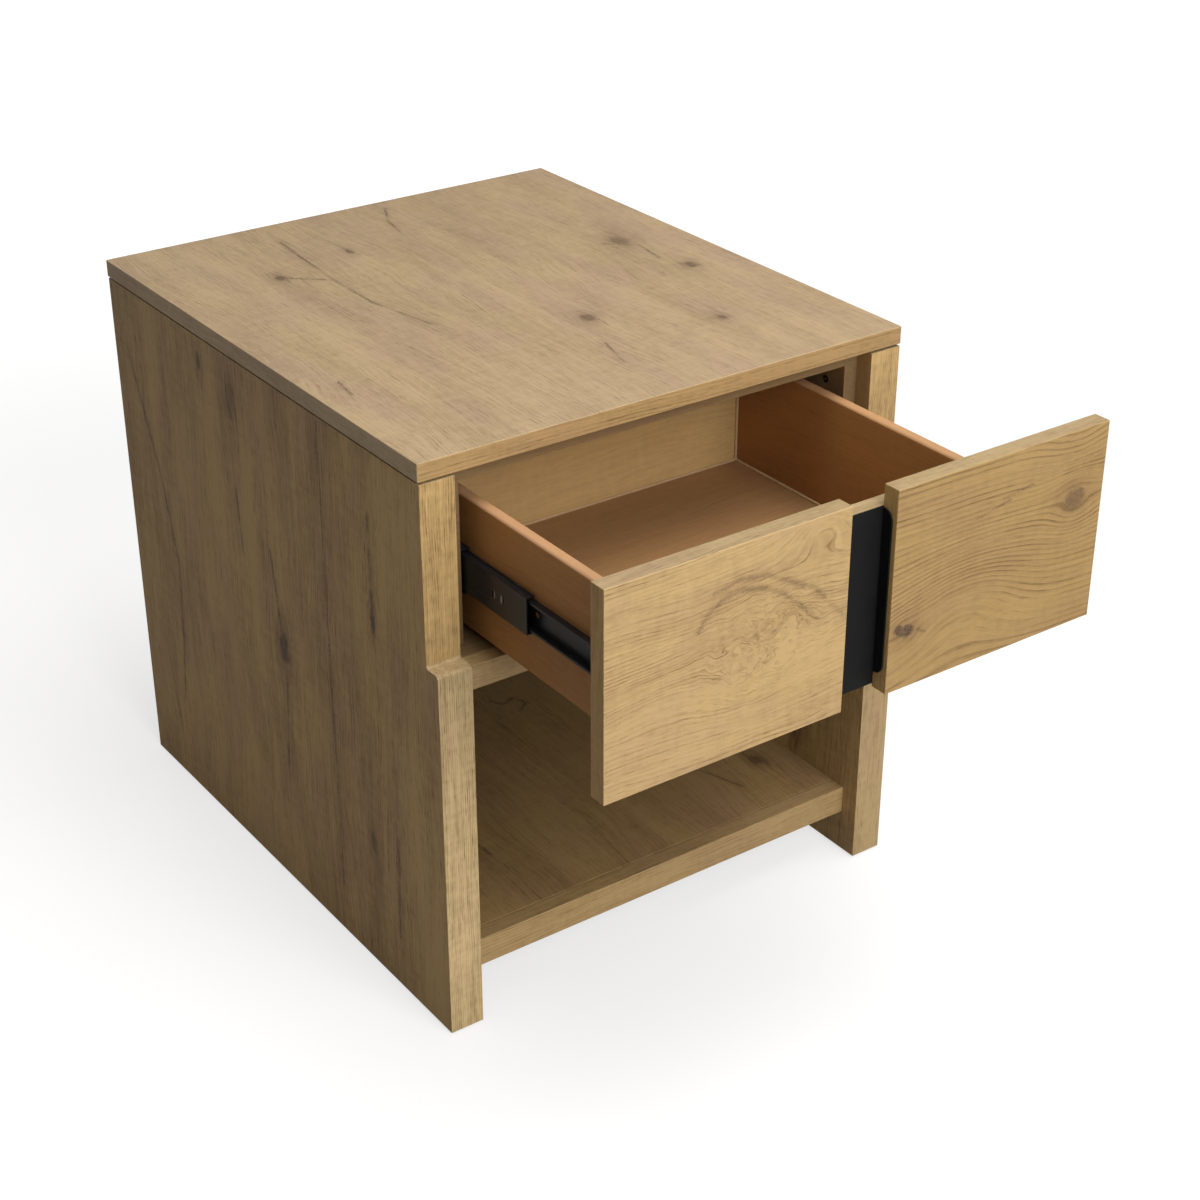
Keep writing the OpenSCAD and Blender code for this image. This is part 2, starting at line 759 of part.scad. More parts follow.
in_frame() face_screws();
in_frame() handle_channel();
in_frame() handle_screws();
in_frame() drawer_bumpers();
in_frame() left_slide_drawer_member();
in_frame() right_slide_drawer_member();
in_frame() drawer_slide_screws();
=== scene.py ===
# %% [markdown]
# # A nightstand in light oak, with one drawer over an open shelf
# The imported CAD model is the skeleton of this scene. It says where every board, screw and slide
# is, and how the drawer runs out. Blender gives the boards their eased edges and their grain.
# Sizes are in metres and the front of the nightstand faces -Y.

# %% Load the frame
import json
from math import cos, radians, sin

import bpy
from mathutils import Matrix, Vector

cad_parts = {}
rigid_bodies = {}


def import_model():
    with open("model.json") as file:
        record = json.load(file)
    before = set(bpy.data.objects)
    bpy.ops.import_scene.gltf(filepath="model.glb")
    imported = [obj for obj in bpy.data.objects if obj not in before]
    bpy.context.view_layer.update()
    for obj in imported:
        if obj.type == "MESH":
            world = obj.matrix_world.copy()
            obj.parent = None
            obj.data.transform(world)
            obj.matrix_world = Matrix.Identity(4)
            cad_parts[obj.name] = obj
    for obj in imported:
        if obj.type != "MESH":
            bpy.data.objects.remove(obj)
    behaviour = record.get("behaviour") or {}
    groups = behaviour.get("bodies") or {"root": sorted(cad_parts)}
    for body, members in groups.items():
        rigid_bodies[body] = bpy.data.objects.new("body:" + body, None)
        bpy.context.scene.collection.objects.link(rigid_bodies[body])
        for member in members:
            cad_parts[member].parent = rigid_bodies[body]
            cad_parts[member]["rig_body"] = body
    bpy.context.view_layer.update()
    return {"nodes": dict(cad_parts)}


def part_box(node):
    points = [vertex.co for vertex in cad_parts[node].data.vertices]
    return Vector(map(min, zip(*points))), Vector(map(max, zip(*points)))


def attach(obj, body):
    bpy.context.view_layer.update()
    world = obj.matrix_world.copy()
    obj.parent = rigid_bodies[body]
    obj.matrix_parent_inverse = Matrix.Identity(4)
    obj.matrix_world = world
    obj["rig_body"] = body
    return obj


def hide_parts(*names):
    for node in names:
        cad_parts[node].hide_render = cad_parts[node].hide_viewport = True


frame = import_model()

cad = frame["nodes"]
MM = 0.001

# %% [markdown]
# ## How the boards are cut
# A cabinet maker starts every board as a sawn blank, cuts its joints, and then takes the sharp
# corners off with a sanding block. The helpers below do the same. `blank` adds a block at the
# size and place of a CAD part, `cut_away` saws a pocket out of it, and `ease_edges` rounds every
# sharp corner a little, which is what catches the light along a real board.

# %% Helpers for cutting boards
def start_afresh():
    """Leaves edit mode and deselects everything, because an operator works on all that is selected."""
    if bpy.context.mode != "OBJECT":
        bpy.ops.object.mode_set(mode="OBJECT")
    bpy.ops.object.select_all(action="DESELECT")


def take_up(piece):
    """Makes one piece the only one that is selected, and the active one."""
    start_afresh()
    piece.select_set(True)
    bpy.context.view_layer.objects.active = piece
    return piece


def keep_place_in_mesh(piece):
    """Leaves the object at the origin, unturned and unscaled, with its place in its mesh."""
    take_up(piece)
    bpy.ops.object.transform_apply(location=True, rotation=True, scale=True)
    return piece


def block(name, low, high):
    """Adds a block between two corners."""
    start_afresh()
    low, high = Vector(low), Vector(high)
    bpy.ops.mesh.primitive_cube_add(size=1, location=(low + high) / 2, scale=high - low)
    piece = bpy.context.object
    piece.name = piece.data.name = name
    return keep_place_in_mesh(piece)


def blank(name, node):
    """Adds a block at the size and place of a CAD part."""
    return block(name, *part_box(node))


def cut_away(piece, cutter):
    """Saws the cutter's shape out of the piece and throws the cutter away."""
    take_up(piece)
    saw = piece.modifiers.new("cut", "BOOLEAN")
    saw.operation = "DIFFERENCE"
    saw.object = cutter
    bpy.ops.object.modifier_apply(modifier=saw.name)
    bpy.data.objects.remove(cutter)
    return piece


def ease_edges(piece, radius, steps=3):
    """Rounds every sharp corner of the piece and keeps its flat faces flat in the light."""
    take_up(piece)
    bpy.ops.object.shade_smooth()
    sanding = piece.modifiers.new("eased edges", "BEVEL")
    sanding.width = radius
    sanding.segments = steps
    sanding.limit_method = "ANGLE"
    sanding.angle_limit = radians(40)
    sanding.harden_normals = True
    bpy.ops.object.modifier_apply(modifier=sanding.name)
    return piece


def pick_nothing(piece, kind):
    """Deselects all of a piece's mesh, and says what kind of element is picked next."""
    take_up(piece)
    bpy.ops.object.mode_set(mode="EDIT")
    bpy.ops.mesh.select_mode(type=kind)
    bpy.ops.mesh.select_all(action="DESELECT")
    bpy.ops.object.mode_set(mode="OBJECT")


def pick_faces(piece, wanted):
    """Goes into edit mode with only those faces picked whose centre and normal are wanted."""
    pick_nothing(piece, "FACE")
    for face in piece.data.polygons:
        face.select = wanted(face.center, face.normal)
    bpy.ops.object.mode_set(mode="EDIT")


def pick_edges(piece, wanted):
    """Goes into edit mode with only those edges picked whose two ends are wanted."""
    pick_nothing(piece, "EDGE")
    corners = piece.data.vertices
    for edge in piece.data.edges:
        edge.select = all(wanted(corners[corner].co) for corner in edge.vertices)
    bpy.ops.object.mode_set(mode="EDIT")


def report(*pieces):
    """Prints each finished piece's size in millimetres and its number of faces."""
    for piece in pieces:
        size = [round(side / MM, 1) for side in piece.dimensions]
        print(f"{piece.name}: {size} mm, {len(piece.data.polygons)} faces")


# %% [markdown]
# ## The top
# The top is one veneered board, 18 mm thick, with a band of veneer along its edges. A blank is
# enough for it, because all that its maker does to it is ease its edges by less than a millimetre.

# %% Cut the top
edge_radius = 0.8 * MM
top_board = ease_edges(blank("top_board", "top_panel"), edge_radius)
top_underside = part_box("top_panel")[0].z
report(top_board)

# %% [markdown]
# ## The two sides
# Each side is a thick slab whose lower part stands forward by the thickness of the drawer's
# face. The slab is bisected at the shoulder, and the lower part of its front is extruded
# forward. The shoulder then gets a rounded nose, and a small hollow where it meets the upper
# part. A rebate along the rear takes the back panel, and a shallow step along the upper edge
# leaves the fine dark line that runs round under the top. One side is made, and the other is
# its mirror image, with its normals turned outwards again.

# %% Helper that tells which of two numbers are the same place
def near(value, place, slack=0.0002):
    return abs(value - place) < slack


# %% Cut the left side with its shoulder
side_low, side_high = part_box("left_side_panel")
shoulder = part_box("drawer_rail_nosing")[1].z
upper_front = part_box("top_panel")[0].y
left_side = block("left_side", (side_low.x, upper_front, side_low.z), side_high)
pick_faces(left_side, lambda centre, normal: True)
bpy.ops.mesh.bisect(plane_co=(0, 0, shoulder), plane_no=(0, 0, 1))
pick_faces(left_side, lambda centre, normal: normal.y < -0.9 and centre.z < shoulder)
forward = {"value": (0, side_low.y - upper_front, 0)}
bpy.ops.mesh.extrude_region_move(TRANSFORM_OT_translate=forward)
report(left_side)

# %% Round the nose of the shoulder and fill its corner with a small hollow
nose_radius = 4 * MM
hollow_radius = 3 * MM
pick_edges(left_side, lambda end: near(end.y, side_low.y) and near(end.z, shoulder))
bpy.ops.mesh.bevel(offset=nose_radius, segments=6, affect="EDGES")
pick_edges(left_side, lambda end: near(end.y, upper_front) and near(end.z, shoulder))
bpy.ops.mesh.bevel(offset=hollow_radius, segments=5, affect="EDGES")
report(left_side)

# %% Saw the rebate for the back panel and the shadow line under the top
spare = 5 * MM
line_height = 2.2 * MM
line_depth = 6 * MM
back_low, back_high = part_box("back_panel")
rebate = block(
    "rebate_cutter",
    (back_low.x, back_low.y, back_low.z),
    (side_high.x + spare, side_high.y + spare, back_high.z + spare),
)
cut_away(left_side, rebate)
for name, start_y, end_x, end_y in (
    ("outer_line_cutter", side_low.y - spare, side_low.x + line_depth, side_high.y + spare),
    ("front_line_cutter", upper_front - spare, side_high.x + spare, upper_front + line_depth),
):
    low = (side_low.x - spare, start_y, top_underside - line_height)
    cut_away(left_side, block(name, low, (end_x, end_y, top_underside + spare)))
report(left_side)

# %% Make the other side as a mirror image and ease both
def mirror_image(piece, name):
    """Makes the matching piece for the other hand, with its faces turned outwards again."""
    take_up(piece)
    bpy.ops.object.duplicate()
    other = bpy.context.object
    other.name = other.data.name = name
    other.scale.x = -1
    keep_place_in_mesh(other)
    pick_faces(other, lambda centre, normal: True)
    bpy.ops.mesh.normals_make_consistent(inside=False)
    start_afresh()
    return other


side_radius = 0.7 * MM
right_side = mirror_image(left_side, "right_side")
for side in (left_side, right_side):
    ease_edges(side, side_radius)
report(left_side, right_side)

# %% [markdown]
# ## Rails, shelf and back
# A board with a solid lip in front of it carries the drawer opening, and another is the shelf.
# The lip is what a person sees, and the board behind it meets it in a fine dark line. A narrow
# step sawn along the shelf's upper front edge leaves that line. The two top rails and the two
# packing blocks that carry the slides are plain inner boards with a lighter easing. The back is
# a thin panel in its rebate.

# %% Cut the rails, the shelf, the packing blocks and the back
inner_radius = 0.6 * MM
drawer_rail_lip = ease_edges(blank("drawer_rail_lip", "drawer_rail_nosing"), edge_radius)
shelf_lip = ease_edges(blank("shelf_lip", "shelf_nosing"), edge_radius)
shelf = blank("shelf", "shelf_board")
shelf_low, shelf_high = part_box("shelf_board")
shelf_radius = 0.3 * MM
lip_line_width = 1.2 * MM
lip_line_depth = 4 * MM
lip_line = block(
    "lip_line_cutter",
    (shelf_low.x - spare, shelf_low.y - spare, shelf_high.z - lip_line_depth),
    (shelf_high.x + spare, shelf_low.y + lip_line_width, shelf_high.z + spare),
)
cut_away(shelf, lip_line)
ease_edges(shelf, shelf_radius, steps=2)
inner_boards = [
    ease_edges(blank(name, node), inner_radius)
    for name, node in (
        ("drawer_rail", "drawer_rail_board"),
        ("front_stretcher", "top_front_rail"),
        ("back_stretcher", "top_back_rail"),
        ("left_packing", "left_slide_spacer"),
        ("right_packing", "right_slide_spacer"),
        ("back", "back_panel"),
    )
]
drawer_rail, front_stretcher, back_stretcher, left_packing, right_packing, back = inner_boards
report(drawer_rail_lip, shelf_lip, shelf, *inner_boards)

# %% [markdown]
# ## The two drawer faces and the board behind them
# The drawer shows two square-edged faces with the pull between them. Both are screwed from
# behind to one board, the front of the drawer box. The screw heads sit in countersinks, so
# a cone is sunk into the board at each head, and the heads of the CAD screws show in them.

# %% Cut the faces
left_face = ease_edges(blank("left_face", "left_face_panel"), edge_radius)
right_face = ease_edges(blank("right_face", "right_face_panel"), edge_radius)
report(left_face, right_face)

# %% Helpers that find each screw of a CAD part and sink its head
def single_boxes(node):
    """The boxes of the separate solids in one CAD part, such as each screw of a set."""
    start_afresh()
    copy = cad[node].copy()
    copy.data = cad[node].data.copy()
    bpy.context.scene.collection.objects.link(copy)
    take_up(copy)
    bpy.ops.object.mode_set(mode="EDIT")
    bpy.ops.mesh.select_all(action="SELECT")
    bpy.ops.mesh.remove_doubles(threshold=0.001 * MM)
    bpy.ops.mesh.separate(type="LOOSE")
    bpy.ops.object.mode_set(mode="OBJECT")
    boxes = []
    for solid in list(bpy.context.selected_objects):
        corners = [corner.co for corner in solid.data.vertices]
        low = Vector(min(corner[axis] for corner in corners) for axis in range(3))
        high = Vector(max(corner[axis] for corner in corners) for axis in range(3))
        boxes.append((low, high))
        bpy.data.objects.remove(solid)
    return boxes


def sink_heads(piece, screws, toward):
    """Sinks a cone into the piece at each screw head. Toward points out of the heads."""
    head_radius = 4.05 * MM
    tip_radius = 0.2 * MM
    head_depth = 3.8 * MM
    head_clearance = 0.05 * MM
    toward = Vector(toward)
    piece_low, piece_high = piece.bound_box[0], piece.bound_box[6]
    for low, high in single_boxes(screws):
        middle = (low + high) / 2
        flat = [axis for axis in range(3) if not toward[axis]]
        if not all(piece_low[axis] <= middle[axis] <= piece_high[axis] for axis in flat):
            continue
        half_length = abs((high - low).dot(toward)) / 2
        head = middle + toward * (half_length - head_depth / 2 + head_clearance)
        start_afresh()
        bpy.ops.mesh.primitive_cone_add(
            vertices=32,
            radius1=tip_radius,
            radius2=head_radius,
            depth=head_depth,
            location=head,
            rotation=toward.to_track_quat("Z", "Y").to_euler(),
        )
        cut_away(piece, bpy.context.object)


print("screws that hold the faces:", len(single_boxes("face_screws")))

# %% Cut the front of the drawer box with its countersinks
box_front = blank("box_front", "sub_front")
sink_heads(box_front, "face_screws", toward=(0, 1, 0))
ease_edges(box_front, inner_radius, steps=2)
report(box_front)

# %% [markdown]
# ## The drawer box
# The box sides and back are stained boards 12 mm thick, with well-rounded top edges where a hand
# reaches in, and a groove near their lower edge that holds the bottom. The groove is sawn with
# a block before the top edges are bevelled, and the right side is the mirror image of the left.

# %% Cut the left side of the drawer box
bottom_low, bottom_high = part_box("drawer_bottom")
drawer_left = blank("drawer_left", "drawer_left_side")
groove = block(
    "groove_cutter",
    (bottom_low.x, bottom_low.y - spare, bottom_low.z),
    (0, bottom_high.y, bottom_high.z),
)
cut_away(drawer_left, groove)
box_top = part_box("drawer_left_side")[1].z
hand_radius = 3 * MM


def round_top_edges(piece):
    """Rounds the long top edges, where a hand touches the drawer."""
    low, high = Vector(piece.bound_box[0]), Vector(piece.bound_box[6])
    lengthwise = 1 if high.y - low.y > high.x - low.x else 0
    sideways = 1 - lengthwise
    for side in (low[sideways], high[sideways]):
        pick_edges(piece, lambda end: near(end.z, box_top) and near(end[sideways], side))
        bpy.ops.mesh.bevel(offset=hand_radius, segments=4, affect="EDGES")
    start_afresh()


round_top_edges(drawer_left)
report(drawer_left)

# %% Mirror it, and cut the back and the bottom
drawer_right = mirror_image(drawer_left, "drawer_right")
box_back = blank("box_back", "drawer_back")
round_top_edges(box_back)
box_bottom = blank("box_bottom", "drawer_bottom")
box_radius = 0.4 * MM
for board in (drawer_left, drawer_right, box_back, box_bottom):
    ease_edges(board, box_radius, steps=2)
report(drawer_left, drawer_right, box_back, box_bottom)

# %% [markdown]
# ## The bead inside the drawer
# A thin bead of filler closes the corners of the drawer box, where the boards meet each other and
# the bottom. Each run of it is a slim bar, with the edge that faces the inside bevelled off, so
# that it reads as the pale line a person sees when looking in. The runs are joined to one piece.

# %% Run the bead round the inside
bead_size = 2.4 * MM
bead_overlap = 0.5 * MM
inner_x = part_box("drawer_right_side")[0].x
inner_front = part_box("sub_front")[1].y
inner_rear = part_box("drawer_back")[0].y
floor_height = bottom_high.z
bead_top = box_top - 6 * MM
bead_radius = 1.1 * MM
foot_low, foot_high = floor_height - bead_overlap, floor_height + bead_size
walls = [
    (inner_front - bead_overlap, inner_front + bead_size),
    (inner_rear - bead_size, inner_rear + bead_overlap),
]
runs = []
for side in (-1, 1):
    left, right = sorted((side * (inner_x + bead_overlap), side * (inner_x - bead_size)))
    runs.append((
        (left, inner_front - bead_overlap, foot_low),
        (right, inner_rear + bead_overlap, foot_high),
    ))
    runs += [((left, front, floor_height), (right, rear, bead_top)) for front, rear in walls]
runs += [((-inner_x, front, foot_low), (inner_x, rear, foot_high)) for front, rear in walls]
bars = [ease_edges(block("bead", low, high), bead_radius) for low, high in runs]
start_afresh()
for bar in bars:
    bar.select_set(True)
bpy.context.view_layer.objects.active = bars[0]
bpy.ops.object.join()
bead = bars[0]
bead.name = bead.data.name = "corner_bead"
report(bead)

# %% [markdown]
# ## The pull
# The pull is a folded steel channel that lines the gap between the two faces. It starts as
# a thin plate. Bisecting it marks off a strip along each side, the two strips are extruded
# forward as flanges, and their front corners are bevelled to a generous round. Two tapped
# bosses on its back take the screws that hold it.

# %% Fold the pull's flanges out of a plate
pull_low, pull_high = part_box("handle_channel")
plate_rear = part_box("left_face_panel")[1].y
steel = 1.5 * MM
below_flange = 13 * MM
above_flange = 1 * MM
flange_low = pull_low.z + below_flange
flange_high = pull_high.z - above_flange
inside = pull_high.x - steel
plate_low = (pull_low.x, plate_rear - steel, pull_low.z)
pull = block("pull", plate_low, (pull_high.x, plate_rear, pull_high.z))
for place, direction in (
    ((-inside, 0, 0), (1, 0, 0)),
    ((inside, 0, 0), (1, 0, 0)),
    ((0, 0, flange_low), (0, 0, 1)),
    ((0, 0, flange_high), (0, 0, 1)),
):
    pick_faces(pull, lambda centre, normal: True)
    bpy.ops.mesh.bisect(plane_co=place, plane_no=direction)
pick_faces(
    pull,
    lambda centre, normal: normal.y < -0.9
    and abs(centre.x) > inside
    and flange_low < centre.z < flange_high,
)
outward = {"value": (0, pull_low.y - plate_rear + steel, 0)}
bpy.ops.mesh.extrude_region_move(TRANSFORM_OT_translate=outward)
report(pull)

# %% Round the flanges' corners and add the bosses
corner_radius = 10 * MM
pull_edge_radius = 0.45 * MM
boss_radius = 4 * MM
boss_edge_radius = 0.4 * MM
for height in (flange_low, flange_high):
    pick_edges(pull, lambda end: near(end.y, pull_low.y) and near(end.z, height))
    bpy.ops.mesh.bevel(offset=corner_radius, segments=10, affect="EDGES")
ease_edges(pull, pull_edge_radius)
for low, high in single_boxes("handle_screws"):
    start_afresh()
    bpy.ops.mesh.primitive_cylinder_add(
        vertices=40,
        radius=boss_radius,
        depth=pull_high.y - plate_rear,
        location=(0, (pull_high.y + plate_rear) / 2, (low.z + high.z) / 2),
        rotation=(radians(90), 0, 0),
    )
    boss = bpy.context.object
    ease_edges(keep_place_in_mesh(boss), boss_edge_radius)
    take_up(pull)
    boss.select_set(True)
    bpy.ops.object.join()
report(pull)

# %% [markdown]
# ## Which part each piece stands for
# Every new piece takes the place of its CAD part and rides on the same body, so that the drawer carries its
# boards along.

# %% Hang every piece on its body
stands_for = {
    top_board: ("top_panel", "oak_veneer"),
    left_side: ("left_side_panel", "oak_veneer"),
    right_side: ("right_side_panel", "oak_veneer"),
    drawer_rail_lip: ("drawer_rail_nosing", "oak_veneer"),
    shelf_lip: ("shelf_nosing", "oak_veneer"),
    shelf: ("shelf_board", "oak_veneer"),
    drawer_rail: ("drawer_rail_board", "inner_board"),
    front_stretcher: ("top_front_rail", "inner_board"),
    back_stretcher: ("top_back_rail", "inner_board"),
    left_packing: ("left_slide_spacer", "inner_board"),
    right_packing: ("right_slide_spacer", "inner_board"),
    back: ("back_panel", "back_ply"),
    left_face: ("left_face_panel", "oak_veneer"),
    right_face: ("right_face_panel", "oak_veneer"),
    box_front: ("sub_front", "oak_veneer"),
    drawer_left: ("drawer_left_side", "stained_drawer_board"),
    drawer_right: ("drawer_right_side", "stained_drawer_board"),
    box_back: ("drawer_back", "stained_drawer_board"),
    box_bottom: ("drawer_bottom", "drawer_bottom_ply"),
    pull: ("handle_channel", "black_pull_steel"),
}
for piece, (node, finish) in stands_for.items():
    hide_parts(node)
    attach(piece, cad[node]["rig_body"])
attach(bead, "drawer")
print("pieces that stand for a CAD part:", len(stands_for))

# %% [markdown]
# ## How the finishes are put together
# A finish is a tree of shader nodes. The helpers below add a node and join it up in one line, and
# let a sum be written as a sum, so that a recipe reads like a formula. All patterns are laid out
# in millimetres in the piece's own Object coordinates, so the grain stays on its board when the
# drawer moves.

# %% Helpers for shader nodes
class Varying:
    """A number, place or colour that varies over the surface, as a node puts it out.

    A sum on it is written as usual, and adds a Math or a Vector Math node to its tree.
    """

    def __init__(self, socket):
        self.socket = socket
        self.tree = socket.id_data

    def sum_with(self, operation, *others):
        kind = "Math" if self.socket.type == "VALUE" else "VectorMath"
        made = add_node(self.tree, kind, dict(enumerate((self, *others))), operation=operation)
        # a Vector Math node puts its number out of its second output
        return made[1 if operation in ("LENGTH", "DOT_PRODUCT") else 0]

    def __add__(self, other):
        return self.sum_with("ADD", other)

    def __sub__(self, other):
        return self.sum_with("SUBTRACT", other)

    def __mul__(self, other):
        return self.sum_with("MULTIPLY", other)

    def __truediv__(self, other):
        return self.sum_with("DIVIDE", other)

    def length(self):
        return self.sum_with("LENGTH")

    def fade(self, rate):
        """Falls from 1 towards 0 as this number grows. The rate is negative."""
        return (self * rate).sum_with("EXPONENT")

    def limited(self):
        """This number, held between 0 and 1."""
        return self.sum_with("MAXIMUM", 0.0).sum_with("MINIMUM", 1.0)


class Outputs:
    """The outputs of one node, each of them ready for sums."""

    def __init__(self, node):
        self.sockets = node.outputs

    def __getitem__(self, key):
        return Varying(self.sockets[key])

    def __contains__(self, name):
        return name in self.sockets


def join(tree, value, socket):
    """Gives a socket a fixed value, or joins it to an output."""
    if isinstance(value, Varying):
        tree.links.new(value.socket, socket)
    else:
        socket.default_value = value


def add_node(tree, kind, sockets=None, **settings):
    """Adds a shader node and returns its outputs."""
    made = tree.nodes.new("ShaderNode" + kind)
    for setting, value in settings.items():
        setattr(made, setting, value)
    for socket, value in (sockets or {}).items():
        join(tree, value, made.inputs[socket])
    return Outputs(made)


def parts_of(vector):
    """The X, Y and Z of a place."""
    return add_node(vector.tree, "SeparateXYZ", {0: vector})


def remap(value, low, high, to_low=0.0, to_high=1.0):
    """Turns the range from low to high into another one, with soft ends."""
    sockets = {"Value": value, "From Min": low, "From Max": high, "To Min": to_low, "To Max": to_high}
    return add_node(value.tree, "MapRange", sockets, interpolation_type="SMOOTHSTEP")["Result"]


def noise(vector, lengths, seed, detail):
    """Soft random values from 0 to 1, whose spots are about as long as the lengths given, in mm."""
    sockets = {"Vector": vector / lengths, "W": seed, "Scale": 1.0, "Detail": detail}
    return add_node(vector.tree, "TexNoise", sockets, noise_dimensions="4D")["Fac"]


def chance(number):
    """One random value from 0 to 1 for each number."""
    return add_node(number.tree, "TexWhiteNoise", {"W": number}, noise_dimensions="1D")["Value"]


def mix_colours(share, first, second, way="MIX"):
    """Mixes two colours. Share is how much of the second one there is."""
    # the Mix node has sockets for each kind of value, and its colours are numbers 6 and 7
    sockets = {0: share, 6: first, 7: second}
    return add_node(share.tree, "Mix", sockets, data_type="RGBA", blend_type=way)[2]


def new_effect(name, takes, gives):
    """Starts a node group with named sockets. Returns its tree and what it takes."""
    tree = bpy.data.node_groups.new(name, "ShaderNodeTree")
    for in_out, sockets in (("INPUT", takes), ("OUTPUT", gives)):
        for label, kind in sockets.items():
            tree.interface.new_socket(name=label, in_out=in_out, socket_type="NodeSocket" + kind)
    tree.nodes.new("NodeGroupOutput")
    return tree, Outputs(tree.nodes.new("NodeGroupInput"))


def give(tree, **results):
    """Joins the results to the group's named outputs."""
    for label, result in results.items():
        join(tree, result, tree.nodes["Group Output"].inputs[label])
    print(f"effect {tree.name}: {len(tree.nodes)} nodes")


def use_effect(tree, effect, **sockets):
    """Places a node group in a tree. A socket's underscores stand for spaces in its name."""
    named = {label.replace("_", " "): value for label, value in sockets.items()}
    made = tree.nodes.new("ShaderNodeGroup")
    made.node_tree = effect
    for label, value in named.items():
        join(tree, value, made.inputs[label])
    return Outputs(made)


# %% [markdown]
# ## Knots
# Where a branch left the trunk, the growth lines part and flow round a dark, hard core. The knot
# effect says how far to push the lines apart, where the core is, and how far the darker wood
# round it reaches. Its outline is an ellipse, because a board cuts most branches at a slant.

# %% The knot effect
def from_middle(taken):
    """How far a point is from the middle of a mark, measured in the mark's own lengths."""
    return (taken["Vector"] - taken["Place"]) / taken["Size"]


knot_effect, taken = new_effect(
    "Knot",
    takes={"Vector": "Vector", "Place": "Vector", "Size": "Vector", "Spread": "Float", "Dark": "Float"},
    gives={"Shift": "Float", "Core": "Float", "Shade": "Float"},
)
offset = from_middle(taken)
distance = offset.length()
squared = distance * distance
push = parts_of(offset)["Y"] * squared.fade(-0.16) * -1.0
ragged = noise(taken["Vector"], (6, 4, 6), 0.0, detail=2) - 0.5
core = remap(distance + ragged, 1.30, 0.70)
give(knot_effect, Shift=push * taken["Spread"], Core=core * taken["Dark"], Shade=squared.fade(-0.22))

# %% [markdown]
# ## Cracks and mineral streaks
# Thin dark lines run for a hand's breadth along the boards, where the wood split a little or
# took up minerals. The effect measures how far a point is from the straight line between two
# ends. The places it is given are already unsteady, so the line comes out wavering.

# %% The crack effect
crack_effect, taken = new_effect(
    "Crack",
    takes={"Vector": "Vector", "Start": "Vector", "End": "Vector", "Width": "Float", "Dark": "Float"},
    gives={"Core": "Float", "Shade": "Float"},
)
run = taken["End"] - taken["Start"]
along_and_across = (1, 1, 0)
offset = (taken["Vector"] - taken["Start"]) * along_and_across
share = (offset.sum_with("DOT_PRODUCT", run) / run.sum_with("DOT_PRODUCT", run)).limited()
foot = add_node(crack_effect, "VectorMath", {0: run, "Scale": share}, operation="SCALE")[0]
distance = (offset - foot).length() / taken["Width"]
thin = distance.sum_with("POWER", 2.0).fade(-1.0)
soft = distance.fade(-0.45)
broken = remap(noise(taken["Vector"], (30, 14, 26), 0.0, detail=2), 0.34, 0.56, 0.30, 1.0)
give(crack_effect, Core=thin * broken * taken["Dark"], Shade=soft * broken * 0.55)

# %% [markdown]
# ## Flames and burls
# A board cut along the side of the trunk shows pointed arches, which makers call flames. One
# smooth hump in the growth lines draws them. A burl is a wild patch where many small buds grew
# into the wood. The lines flow round it, and inside it they are stirred by a noise that dies away
# outside the patch, with small dark buds strewn over it.

# %% The flame effect and the burl effect
flame_effect, taken = new_effect(
    "Flame",
    takes={"Vector": "Vector", "Place": "Vector", "Size": "Vector", "Height": "Float"},
    gives={"Shift": "Float"},
)
distance = from_middle(taken).length()
give(flame_effect, Shift=(distance * distance).fade(-1.0) * (taken["Height"] * -1.0))

burl_effect, taken = new_effect(
    "Burl",
    takes={
        "Vector": "Vector",
        "Place": "Vector",
        "Size": "Vector",
        "Stir": "Float",
        "Spread": "Float",
        "Seed": "Float",
    },
    gives={"Shift": "Float", "Shade": "Float"},
)
offset = from_middle(taken)
distance = offset.length()
patch = (distance * distance).fade(-0.9)
eddies = noise(taken["Vector"], (34, 22, 30), taken["Seed"], detail=3) - 0.5
stirred = eddies * patch * taken["Stir"]
parted = parts_of(offset)["Y"] * patch * taken["Spread"]
buds = remap(noise(taken["Vector"], (9, 5, 10), taken["Seed"], detail=3), 0.46, 0.72)
give(burl_effect, Shift=stirred - parted, Shade=buds * patch * 0.8)

# %% [markdown]
# ## Worn edges with a painted highlight
# The edges of a board are made a little paler: partly wear, where handling takes the stain off first, and
# partly a painted highlight along the rounded edges. A point is at an edge when it is close to two of the
# board's outer faces at once, so the effect measures how far the point is from the faces of the board's own
# box, and a noise breaks the line up.

# %% The worn edge effect, with a painted highlight
wear_and_highlight_effect, taken = new_effect(
    "Worn edge and painted highlight",
    takes={"Vector": "Vector", "Low": "Vector", "High": "Vector", "Seed": "Float"},
    gives={"Worn": "Float"},
)
from_low = (taken["Vector"] - taken["Low"]).sum_with("ABSOLUTE")
from_high = (taken["High"] - taken["Vector"]).sum_with("ABSOLUTE")
nearest = parts_of(from_low.sum_with("MINIMUM", from_high))
close = [remap(nearest[axis], 2.2, 0.2) for axis in "XYZ"]
pairs = [close[first] * close[second] for first, second in ((0, 1), (1, 2), (0, 2))]
at_edge = pairs[0].sum_with("MAXIMUM", pairs[1]).sum_with("MAXIMUM", pairs[2])
broken = noise(taken["Vector"], (22, 22, 22), taken["Seed"], detail=3)
give(wear_and_highlight_effect, Worn=at_edge * remap(broken, 0.30, 0.62))

# %% [markdown]
# ## Oak
# Light oak has growth lines a few millimetres apart, thousands of short dark pores that run with
# the grain, fine fibres, faint ripples across the grain, and slow changes of tone from one
# strip of veneer to the next. The oak effect builds each of them as a layer over the distance
# across the board, and adds the layers up to a darkness that mixes a pale and a deep colour.

